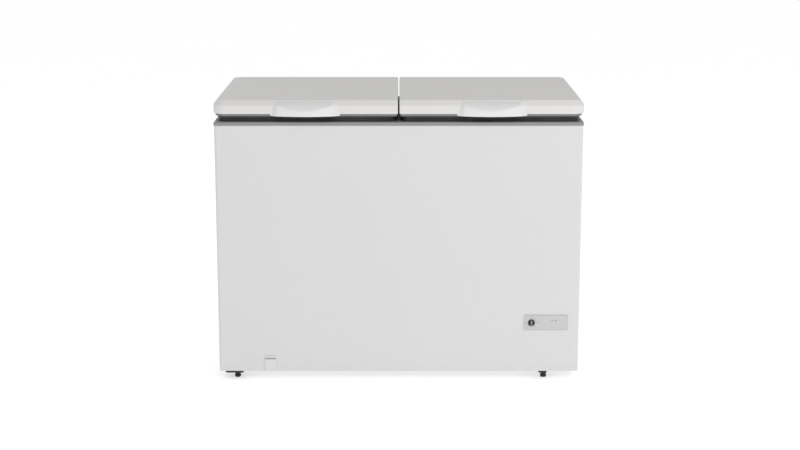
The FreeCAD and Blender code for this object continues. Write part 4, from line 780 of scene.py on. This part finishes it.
def draw_seal(given):
    ring = circle(given["Geometry"], 72, 1.0)
    spot = ring.node("GeometryNodeInputPosition")
    across = ring.node("ShaderNodeSeparateXYZ", {"Vector": spot})
    wide, tall = squared(across), squared(across.other("Y"))
    waist = 1.0 - given["Pinch"] * notch(tall, 0.02, 30.0)
    ridge = 1.0 - 0.5 * given["Pinch"] * notch(tall, 0.58, 90.0)
    x = wide * waist * ridge * given["Width"] / 2.0
    section = bent(ring, vector(ring, X=x, Y=tall * given["Height"] / 2.0))
    return strip_round(given, section, 12)


for lid_side in ("left", "right"):
    gasket = f"{lid_side}_lid_gasket"
    low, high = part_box(gasket)
    high.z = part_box(f"{lid_side}_lid_trim")[0].z
    seal_sizes = {
        "Width": SEAL_WIDTH,
        "Height": high.z - low.z,
        "Pinch": SEAL_PINCH,
        "Length": high.x - low.x - SEAL_WIDTH,
        "Depth": high.y - low.y - SEAL_WIDTH,
        "Corner": SEAL_CORNER,
        "Middle": (low + high) / 2,
    }
    seal = smoothed(grown(f"{lid_side}_seal", draw_seal, seal_sizes, "black_rubber"), 60)
    piece(f"{lid_side}_seal", seal, f"{lid_side}_lid", "black_rubber", gasket)

# %% [markdown]
# ## Finding the small solids
# Some CAD nodes hold several solids, such as all the screws of a hinge set. Places that are typed
# in again would be wrong as soon as the CAD model changes. So this helper walks from point to point
# over a copy of the mesh and returns one box for each separate solid.


# %% Boxes of separate solids
def islands(node):
    """Lowest and highest corner of each separate solid in a CAD node, from left to right."""
    shape = bmesh.new()
    shape.from_mesh(nodes[node].data)
    bmesh.ops.remove_doubles(shape, verts=shape.verts, dist=WELD)
    waiting = set(shape.verts)
    boxes = []
    while waiting:
        reached = [waiting.pop()]
        corners = []
        while reached:
            here = reached.pop()
            corners.append(here.co.copy())
            found = waiting.intersection(edge.other_vert(here) for edge in here.link_edges)
            waiting -= found
            reached += found
        boxes.append((Vector(map(min, *corners)), Vector(map(max, *corners))))
    shape.free()
    return sorted(boxes, key=lambda box: tuple(box[0]))


hinge_axes = [middle_of(box) for box in islands("hinge_pins")]
print("hinge axes at x", [round(spot.x, 3) for spot in hinge_axes])

# %% [markdown]
# ## Balance springs
# Each hinge has a wire spring that helps to lift the lid: a foot under the lid, a few turns round
# the pin and a tail down to a hook. A Spiral node gives the turns alone, so a sum bends a line of
# points into the whole shape. One number runs along the line: below zero it makes the foot, then
# quarter turns of the coil, and past the last quarter the tail. The tree puts a spring on each
# hinge axis.

# %% Balance springs
COIL_QUARTERS = 17
SPRING_POINTS = 230
SPRING_SIZES = {
    "Coil radius": 0.0053,
    "Wire radius": 0.001,
    "Span": 0.015,
    "Foot": 0.0201,
    "Tail": 0.028,
}


def draw_springs(given):
    axes = given["Geometry"]
    line = axes.node("GeometryNodeCurvePrimitiveLine")
    points = {"Curve": line, "Count": SPRING_POINTS}
    line = line.node("GeometryNodeResampleCurve", points, {"mode": "COUNT"})
    along = line.node("GeometryNodeSplineParameter") * (COIL_QUARTERS + 2) - 1.0
    wound = along.at_least(0.0).at_most(COIL_QUARTERS)
    turn = wound * (math.pi / 2)
    radius = given["Coil radius"]
    way = vector(
        line,
        X=given["Span"] * (wound / COIL_QUARTERS - 0.5),
        Y=radius * turn.sine() + along.at_most(0.0) * given["Foot"],
        Z=radius * turn.cosine() - (along - COIL_QUARTERS).at_least(0.0) * given["Tail"],
    )
    section = circle(line, 10, given["Wire radius"])
    wire = {"Curve": bent(line, way), "Profile Curve": section, "Fill Caps": True}
    return copies(axes, line.node("GeometryNodeCurveToMesh", wire))


axes = seed_points(hinge_axes)
springs = grown("hinge_balance_springs", draw_springs, SPRING_SIZES, "steel", axes)
piece("hinge_balance_springs", smoothed(springs, 60), "cabinet", "steel", "hinge_springs")

# %% [markdown]
# ## Turned shapes
# Feet, knobs, lenses and caps are turned on a lathe. A Screw modifier could do that, but not the
# flutes for the fingers. This helper runs a list of radius and height round the Z axis and can add
# a ripple to each ring.

# %% Lathe
FRONTWARDS = (0, -1, 0)
REARWARDS = (0, 1, 0)


def lathe(rings, segments, axis=None, place=(0, 0, 0), ripples=0):
    """A turned mesh from rings of radius, height and, if wished, depth of its ripples."""
    points = []
    for radius, height, *ripple in rings:
        depth = sum(ripple)
        for segment in range(segments):
            angle = 2 * math.pi * segment / segments
            reach = radius - depth * (0.5 + 0.5 * math.cos(ripples * angle))
            points.append((reach * math.cos(angle), reach * math.sin(angle), height))
    mesh = mesh_from(points, grid_faces(len(rings), segments, closed=True))
    if axis:
        mesh.transform(Vector(axis).to_track_quat("Z", "X").to_matrix().to_4x4())
    return moved(mesh, place)


def joined(*meshes):
    """Several meshes as one."""
    shape = bmesh.new()
    for mesh in meshes:
        shape.from_mesh(mesh)
    return mesh_of(shape)


# %% [markdown]
# ## Screws
# Twenty-eight round-headed screws hold the hinges and the grille. A cross could be cut out of each
# head with a Boolean, which leaves long thin faces. Here a domed head is made once, and its points
# in the arms of the cross are sunk. The tree then sets a copy on every seat that the CAD model
# gives.

# %% One screw head
HEAD_RADIUS = 0.0042
HEAD_HEIGHT = 0.0024
HEAD_SEGMENTS = 32
HEAD_RADII = [0.0, 0.0005, 0.0011, 0.0017, 0.0023, 0.0026, 0.0032, 0.0038, HEAD_RADIUS]
DOME_RADIUS = HEAD_RADIUS * 1.12
CROSS_REACH = 0.0024
CROSS_CORE = 0.0006
CROSS_DEPTH = 0.0012
QUARTER = HEAD_SEGMENTS // 4


def screw_head():
    """A head with its seat at zero, facing +Y."""
    rings = [(r, HEAD_HEIGHT * math.sqrt(1 - (r / DOME_RADIUS) ** 2)) for r in HEAD_RADII]
    rings.append((HEAD_RADIUS, 0.0))
    points = []
    for radius, height in rings:
        for segment in range(HEAD_SEGMENTS):
            angle = 2 * math.pi * segment / HEAD_SEGMENTS
            in_arm = segment % QUARTER in (QUARTER - 1, 0, 1) or radius < CROSS_CORE
            sunk = CROSS_DEPTH if in_arm and radius < CROSS_REACH else 0.0
            points.append((radius * math.sin(angle), height - sunk, radius * math.cos(angle)))
    faces = grid_faces(len(rings), HEAD_SEGMENTS, closed=True)
    faces.append(tuple(range(len(points) - HEAD_SEGMENTS, len(points))))
    return smoothed(mesh_from(points, faces), 40)


head_mesh = screw_head()
print("screw head:", len(head_mesh.polygons), "faces")


# %% Screws
def draw_copies(given):
    info = given["Shape"].node("GeometryNodeObjectInfo", {"Object": given["Shape"]})
    return copies(given["Geometry"], info.other("Geometry"))


def seated(name, shape_mesh, seats, finish):
    """Copies of one shape on a list of seats, as one mesh."""
    shape = placed(f"{name}_one", shape_mesh)
    mesh = grown(name, draw_copies, {"Shape": shape}, finish, seed_points(seats))
    bpy.data.objects.remove(shape)
    print(f"{len(seats)} seats")
    return mesh


for set_name, body in {
    "hinge_leaf_screws": "cabinet",
    "rear_grille_screws": "cabinet",
    "left_arm_screws": "left_lid",
    "right_arm_screws": "right_lid",
}.items():
    seats = [middle_of(box, y=box[1].y - HEAD_HEIGHT) for box in islands(set_name)]
    mesh = seated(f"{set_name}_heads", head_mesh, seats, "steel")
    piece(f"{set_name}_heads", mesh, body, "steel", set_name)

# %% [markdown]
# ## Levelling feet
# A levelling foot is a moulded disc on a threaded stud. The disc has grip ribs, because it is
# turned by hand. A true thread climbs, but at this size rings look the same, so the turned shape
# carries the thread as rings, and the tree stands the ribs round it.

# %% Levelling feet
FOOT_RADIUS = 0.0095
FOOT_HEIGHT = 0.009
STUD_RADIUS = 0.005
STUD_TOP = 0.026
THREAD_PITCH = 0.0015
THREAD_ROOT = STUD_RADIUS - 0.0006
FOOT_RIBS = 22
RIB_RADIUS = 0.0007
RIB_LENGTH = 0.0056
RIB_MIDDLE = Vector((0, 0, 0.0047))
FOOT_RINGS = [(0.0, 0.0), (0.0076, 0.0), (0.0083, 0.0004), (0.0088, 0.0015), (0.0088, 0.0078)]
FOOT_RINGS += [(0.0084, 0.0086), (0.0076, FOOT_HEIGHT), (STUD_RADIUS, FOOT_HEIGHT)]
for number in range(int((STUD_TOP - FOOT_HEIGHT) / THREAD_PITCH)):
    height = FOOT_HEIGHT + number * THREAD_PITCH
    FOOT_RINGS.append((THREAD_ROOT, height + THREAD_PITCH / 2))
    FOOT_RINGS.append((STUD_RADIUS, height + THREAD_PITCH))
FOOT_RINGS += [(THREAD_ROOT, STUD_TOP), (0.0, STUD_TOP)]


def draw_foot(given):
    foot = given["Geometry"]
    round_foot = {"Vertices": given["Ribs"], "Radius": given["Rib reach"]}
    ring = foot.node("GeometryNodeMeshCircle", round_foot)
    rod = {"Vertices": 8, "Radius": RIB_RADIUS, "Depth": given["Rib length"]}
    ribs = put(copies(ring, foot.node("GeometryNodeMeshCylinder", rod)), given["Place"])
    both = foot.node("GeometryNodeJoinGeometry", {"Geometry": foot})
    foot.tree.links.new(ribs.output, both.output.node.inputs["Geometry"])
    return both


for foot_name in ("front_left_foot", "front_right_foot", "rear_left_foot", "rear_right_foot"):
    foot_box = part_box(foot_name)
    stand = middle_of(foot_box, z=foot_box[0].z)
    foot_sizes = {
        "Ribs": FOOT_RIBS,
        "Rib reach": FOOT_RADIUS - RIB_RADIUS,
        "Rib length": RIB_LENGTH,
        "Place": stand + RIB_MIDDLE,
    }
    turned = lathe(FOOT_RINGS, 40, place=stand)
    mesh = grown(f"{foot_name}_ribbed", draw_foot, foot_sizes, "black_plastic", turned)
    piece(f"{foot_name}_ribbed", smoothed(mesh, 40), foot_name, "black_plastic", foot_name)

# %% [markdown]
# ## Thermostat dial
# The dial is a black disc with a fluted edge and a grey finger bar across it. A ripple on the
# disc's rings gives the flutes. The bar could be a box with bevels. Here it is an outline with
# round ends, raised level by level with its top drawn in, and it carries a white pointer. All
# three turn with the dial, and at rest the pointer is at the low end of the scale.

# %% Dial grip
FLUTES = 24
GRIP_RINGS = [
    (0.0, 0.0003),
    (0.0103, 0.0003),
    (0.0105, 0.0005),
    (0.0105, 0.0010),
    (0.0103, 0.0016, 0.0004),
    (0.0101, 0.0022, 0.0008),
    (0.0098, 0.0042, 0.0008),
    (0.0094, 0.0048, 0.0005),
    (0.0088, 0.0051),
    (0.0, 0.0053),
]
panel_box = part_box("control_panel")
panel_front = panel_box[0].y
dial_middle = middle_of(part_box("thermostat_dial"), y=panel_front)
grip = lathe(GRIP_RINGS, 144, FRONTWARDS, dial_middle, FLUTES)
piece("dial_grip", smoothed(grip, 40), "thermostat_dial", "black_plastic", "thermostat_dial")

# %% Dial bar and pointer
BAR_LENGTH = 0.0178
BAR_WIDTH = 0.0058
BAR_LEVELS = [(0.0045, 0.0), (0.0070, 0.0002), (0.0080, 0.0006), (0.0085, 0.0012), (0.0086, 0.0020)]
BAR_END_STEPS = 10
POINTER_PLACE = Vector((0, -0.0084, 0.0042))
UPRIGHT_SHARE = 0.6
CORNER_CUT = 0.45


def raised(levels):
    """A low closed form that faces -Y, from heights and their outlines of x and z."""
    points = [(x, -height, z) for height, outline in levels for x, z in outline]
    around = len(levels[0][1])
    faces = grid_faces(len(levels), around, closed=True)
    faces += [tuple(range(around)), tuple(range(len(points) - around, len(points)))]
    return mesh_from(points, faces)


def both_halves(half):
    """A whole outline from the points of its upper half."""
    return half + [(-x, -z) for x, z in half]


def round_ended(inset):
    radius = BAR_WIDTH / 2 - inset
    straight = (BAR_LENGTH - BAR_WIDTH) / 2
    angles = [math.pi * step / BAR_END_STEPS for step in range(BAR_END_STEPS + 1)]
    return both_halves([(radius * math.cos(a), straight + radius * math.sin(a)) for a in angles])


def rounded_bar(length, width, depth, drawn_in=0.25):
    """A low bar along Z with cut corners, its top drawn in by a share of half its width."""

    def outline(inset):
        x, z = width / 2 - inset, length / 2 - inset
        cut = min(x, z) * CORNER_CUT
        return both_halves([(x, z - cut), (x - cut, z), (cut - x, z), (-x, z - cut)])

    base = outline(0.0)
    top = outline(drawn_in * width / 2)
    return raised([(0.0, base), (UPRIGHT_SHARE * depth, base), (depth, top)])


bar = raised([(height, round_ended(inset)) for height, inset in BAR_LEVELS])
bar = smoothed(moved(bar, dial_middle), 40)
moulded("dial_bar_grey", 0.20, 0.38)
piece("dial_bar", bar, "thermostat_dial", "grey_plastic", finish="dial_bar_grey")
pointer = moved(rounded_bar(0.0052, 0.0009, 0.0004), dial_middle + POINTER_PLACE)
piece("dial_pointer", pointer, "thermostat_dial", "white_plastic")

# %% [markdown]
# ## Dial scale and panel
# Round the dial the panel has a pale ring, tick marks and plain numbers. Painted marks would need
# an image, so these are thin raised forms. The ticks are one bar, repeated by the tree along an
# arc. The numbers are text, made a mesh before they are put in place. A thin rim runs round the
# panel's edge, and two lamp lenses stand in it.

# %% Dial ring and ticks
RING_RINGS = [(0.0112, 0.0), (0.0112, 0.0006), (0.0116, 0.0009), (0.0124, 0.0009)]
RING_RINGS += [(0.0128, 0.0005), (0.0128, 0.0), (0.0112, 0.0)]
SCALE_SWEEP = math.radians(270)
TICKS = 7
TICK_REACH = 0.0148
TICK_SINK = Vector((0, 0.0001, 0))
dial_ring = lathe(RING_RINGS, 96, FRONTWARDS, dial_middle)
piece("dial_ring", smoothed(dial_ring, 40), "cabinet", "white_plastic")


def draw_ticks(given):
    tick = given["Geometry"]
    row = tick.node("GeometryNodeMeshLine", {"Count": given["Count"], "Offset": (0.0, 0.0, 0.0)})
    angle = row.node("GeometryNodeInputIndex") * (given["Sweep"] / (TICKS - 1))
    reach = given["Reach"]
    arc = bent(row, vector(row, X=reach * angle.sine(), Z=reach * angle.cosine()))
    return put(copies(arc, tick, Rotation=rotation(row, Y=angle)), given["Middle"])


tick_sizes = {
    "Count": TICKS,
    "Sweep": SCALE_SWEEP,
    "Reach": TICK_REACH,
    "Middle": dial_middle + TICK_SINK,
}
tick_bar = rounded_bar(0.0022, 0.0007, 0.0003)
ticks = grown("dial_ticks", draw_ticks, tick_sizes, "black_plastic", tick_bar)
piece("dial_ticks", ticks, "cabinet", "black_plastic")

# %% Dial numbers
NUMBER_REACH = 0.0182
NUMBER_HEIGHT = 0.0032
NUMBER_DEPTH = 0.00012
NUMBER_RISE = 0.0001


def number_mesh(text, angle):
    """A raised number on the panel, read from the front."""
    curve = bpy.data.curves.new("number", "FONT")
    curve.body = text
    curve.size = NUMBER_HEIGHT
    curve.extrude = NUMBER_DEPTH
    curve.align_x = curve.align_y = "CENTER"
    shape = bmesh.new()
    shape.from_mesh(taken(placed("number", curve)))
    mesh = closed_mesh(shape)
    mesh.transform(Matrix.Rotation(math.radians(90), 4, "X"))
    away = (NUMBER_REACH * math.sin(angle), -NUMBER_RISE, NUMBER_REACH * math.cos(angle))
    return moved(mesh, dial_middle + Vector(away))


numbers = [number_mesh(str(n), SCALE_SWEEP * n / (TICKS - 1)) for n in range(TICKS)]
piece("dial_numbers", joined(*numbers), "cabinet", "black_plastic")

# %% Panel rim
PANEL_CORNER = 0.003
RIM_RADIUS = 0.0006
FACING_FRONT = (math.pi / 2, 0.0, 0.0)


def draw_rim(given):
    section = circle(given["Geometry"], 12, given["Rim radius"])
    return strip_round(given, section, 8, FACING_FRONT)


panel_size = panel_box[1] - panel_box[0]
rim_sizes = {
    "Length": panel_size.x - 2 * RIM_RADIUS,
    "Depth": panel_size.z - 2 * RIM_RADIUS,
    "Corner": PANEL_CORNER - RIM_RADIUS,
    "Rim radius": RIM_RADIUS,
    "Middle": middle_of(panel_box, y=panel_front),
}
rim = grown("panel_rim", draw_rim, rim_sizes, "panel_plastic")
piece("panel_rim", smoothed(rim, 60), "cabinet", "panel_plastic")

# %% Lamp lenses
LENS_RADIUS = 0.0024
LENS_DOME = 0.0008
DOME_STEPS = 6
LENS_RINGS = [(0.0, -0.0045), (0.0045, -0.0045), (0.0045, -0.0026), (LENS_RADIUS, -0.0026)]
for step in range(DOME_STEPS + 1):
    angle = math.pi / 2 * step / DOME_STEPS
    LENS_RINGS.append((LENS_RADIUS * math.cos(angle), LENS_DOME * math.sin(angle)))
lens_spots = [middle_of(box, y=panel_front) for box in islands("indicator_lenses")]
lenses = [lathe(LENS_RINGS, 32, FRONTWARDS, spot) for spot in lens_spots]
piece("lamp_lenses", smoothed(joined(*lenses), 50), "cabinet", "lens", "indicator_lenses")

# %% [markdown]
# ## Grip of the drain cover
# The drain cover is pulled out by a slot near its top, which shows as a dark line. A grey strip
# with small upright ribs lies in the slot and gives the nail some hold. Its grey is darker than the
# cover's plastic, which is painted shade that deepens the slot's line. A bump in the finish would
# vanish from the side, so the ribs are real: one bar, set on a row of seats.

# %% Grip of the drain cover
SLOT_DROP = 0.006
SLOT_TALL = 0.005
SLOT_WIDE = 0.032
SLOT_DEEP = 0.0018
STRIP_PLAY = 0.0003
STRIP_SINK = Vector((0, 0.0001, 0))
GRIP_RIBS = 15
GRIP_RIB_PLAY = 0.0008
GRIP_RIB_RISE = 0.0003
low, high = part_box("drain_cover")
slot_middle = middle_of((low, high), y=low.y + SLOT_DEEP, z=high.z - SLOT_DROP - SLOT_TALL / 2)
strip = rounded_bar(SLOT_TALL - STRIP_PLAY, SLOT_WIDE - STRIP_PLAY, 0.0005, 0.01)
strip = moved(strip, slot_middle + STRIP_SINK)
rib = rounded_bar(SLOT_TALL - GRIP_RIB_PLAY, 0.0010, 0.0009)
rib_row = []
for number in range(GRIP_RIBS):
    along = SLOT_WIDE * ((number + 0.5) / GRIP_RIBS - 0.5)
    rib_row.append(slot_middle + Vector((along, -GRIP_RIB_RISE, 0)))
# The strip and its ribs take a darker grey: painted shade for the slot.
moulded("grip_shaded_grey", 0.46, 0.40)
grip_mesh = joined(strip, seated("drain_cover_ribs", rib, rib_row, "grip_shaded_grey"))
piece("drain_cover_grip", grip_mesh, "drain_cover", "panel_plastic", finish="grip_shaded_grey")

# %% [markdown]
# ## Fastenings of the rear panel
# The rear sheet is screwed to the folded edges of the wrap, so a row of screws runs up each side
# and along the bottom. Three round plugs close the holes that the foam was blown in through. Each
# could be placed by hand, but a list of seats follows the sheet when its size changes. The screws'
# tree sets both kinds.

# %% Screws of the rear panel
EDGE_ROOM = 0.012
SCREW_ROWS = 6
LOWEST_ROW = 0.06
HIGHEST_ROW = 0.05
BOTTOM_SCREWS = 7
BOTTOM_START = 0.05
GRILLE_ROOM = 0.03
rear_low, rear_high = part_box("rear_panel")
grille_low, grille_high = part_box("rear_grille")


def evenly(first, last, count):
    return [first + (last - first) * number / (count - 1) for number in range(count)]


def beside_grille(x, z):
    return grille_low.x - EDGE_ROOM < x and z < grille_high.z + EDGE_ROOM


edge_x = (rear_low.x + EDGE_ROOM, rear_high.x - EDGE_ROOM)
heights = evenly(rear_low.z + LOWEST_ROW, rear_high.z - HIGHEST_ROW, SCREW_ROWS)
bottom_x = evenly(edge_x[0] + BOTTOM_START, grille_low.x - GRILLE_ROOM, BOTTOM_SCREWS)
screw_seats = [(x, rear_high.y, z) for x in edge_x for z in heights if not beside_grille(x, z)]
screw_seats += [(x, rear_high.y, rear_low.z + EDGE_ROOM) for x in bottom_x]
screws = seated("rear_panel_screws", head_mesh, screw_seats, "steel")
piece("rear_panel_screws", screws, "cabinet", "steel")

# %% Plugs of the foam holes
PLUG_REACH = 0.33
PLUG_RINGS = [(0.0, 0.0), (0.0120, 0.0), (0.0121, 0.0008), (0.0112, 0.0016), (0.0098, 0.0019)]
PLUG_RINGS += [(0.0086, 0.0014), (0.0080, 0.0012), (0.0, 0.0012)]
foam_plug = smoothed(lathe(PLUG_RINGS, 40, REARWARDS), 40)
plug_height = (rear_low.z + rear_high.z) / 2
plug_seats = [(x, rear_high.y, plug_height) for x in evenly(-PLUG_REACH, PLUG_REACH, 3)]
plugs = seated("foam_plugs", foam_plug, plug_seats, "white_plastic")
piece("foam_plugs", plugs, "cabinet", "white_plastic")

# %% [markdown]
# ## Louvres
# The rear grille and the side vent have rows of slots. A moulded louvre hangs over each slot like
# a small eyelid, so that nothing drips in. A bent strip would leave its ends open, so one louvre
# is worked out as a shell: an arc from the slot's upper edge out and down, which sinks back into
# the sheet at both ends. The tree repeats it up the grille.

# %% One louvre
SLOT_HEIGHT = 0.006
SLOT_PITCH = 0.014
BLADE_STATIONS = 28
BLADE_STEPS = 7
BLADE_WALL = 0.0009
BLADE_END = 0.007
BLADE_LOW = 0.001
BLADE_OVERLAP = 0.0015


def louvre(length, reach):
    """A shell over a slot whose lower edge is at zero, bulging towards +Y."""
    points = []
    for wall in (0.0, BLADE_WALL):
        for station in range(BLADE_STATIONS + 1):
            place = 2 * station / BLADE_STATIONS - 1
            place = place * (1.5 - 0.5 * place * place)
            to_end = (1 - abs(place)) * length / 2
            out = math.sqrt(max(0.0, 1 - max(0.0, 1 - to_end / BLADE_END) ** 2))
            for step in range(BLADE_STEPS + 1):
                angle = math.pi / 2 * step / BLADE_STEPS
                y = (reach - wall) * math.sin(angle) * out
                z = BLADE_LOW + (SLOT_HEIGHT + BLADE_OVERLAP - wall) * math.cos(angle)
                points.append((place * (length / 2 - wall), y - SINK, z))
    faces = shell_faces(BLADE_STATIONS + 1, BLADE_STEPS + 1)
    return smoothed(mesh_from(points, faces), 50)


# %% Rows of louvres
def draw_louvres(given):
    blade = given["Geometry"]
    step = vector(blade, Z=given["Pitch"])
    row = blade.node("GeometryNodeMeshLine", {"Count": given["Count"], "Offset": step})
    return put(copies(row, blade, Rotation=rotation(row, Z=given["Turn"])), given["First"])


def louvre_row(name, slot, node, along, margin, reach):
    """Louvres up a node, over slots along axis 0 on its rear or along axis 1 on its right."""
    low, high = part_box(node)
    first = middle_of((low, high), z=low.z + margin)
    first[1 - along] = high[1 - along]
    room = high.z - low.z - 2 * margin
    sizes = {
        "Count": int((room - SLOT_HEIGHT) / SLOT_PITCH + HAIR) + 1,
        "Pitch": SLOT_PITCH,
        "Turn": -math.pi / 2 * along,
        "First": first,
    }
    blade = louvre(high[along] - low[along] - 2 * margin, reach)
    piece(name, grown(name, draw_louvres, sizes, slot, blade), "cabinet", slot)


louvre_row("grille_louvres", "black_plastic", "rear_grille", along=0, margin=0.024, reach=0.0045)
louvre_row("vent_louvres", "white_plastic", "side_vent", along=1, margin=0.020, reach=0.0026)

# %% [markdown]
# ## Sizes
# The solids carry the freezer's true sizes, so the finished freezer should be no larger than they
# are. The box of the solids is printed here.

# %% Sizes and finish
print("cad   ", [round(v, 4) for corner in cad_box for v in corner])
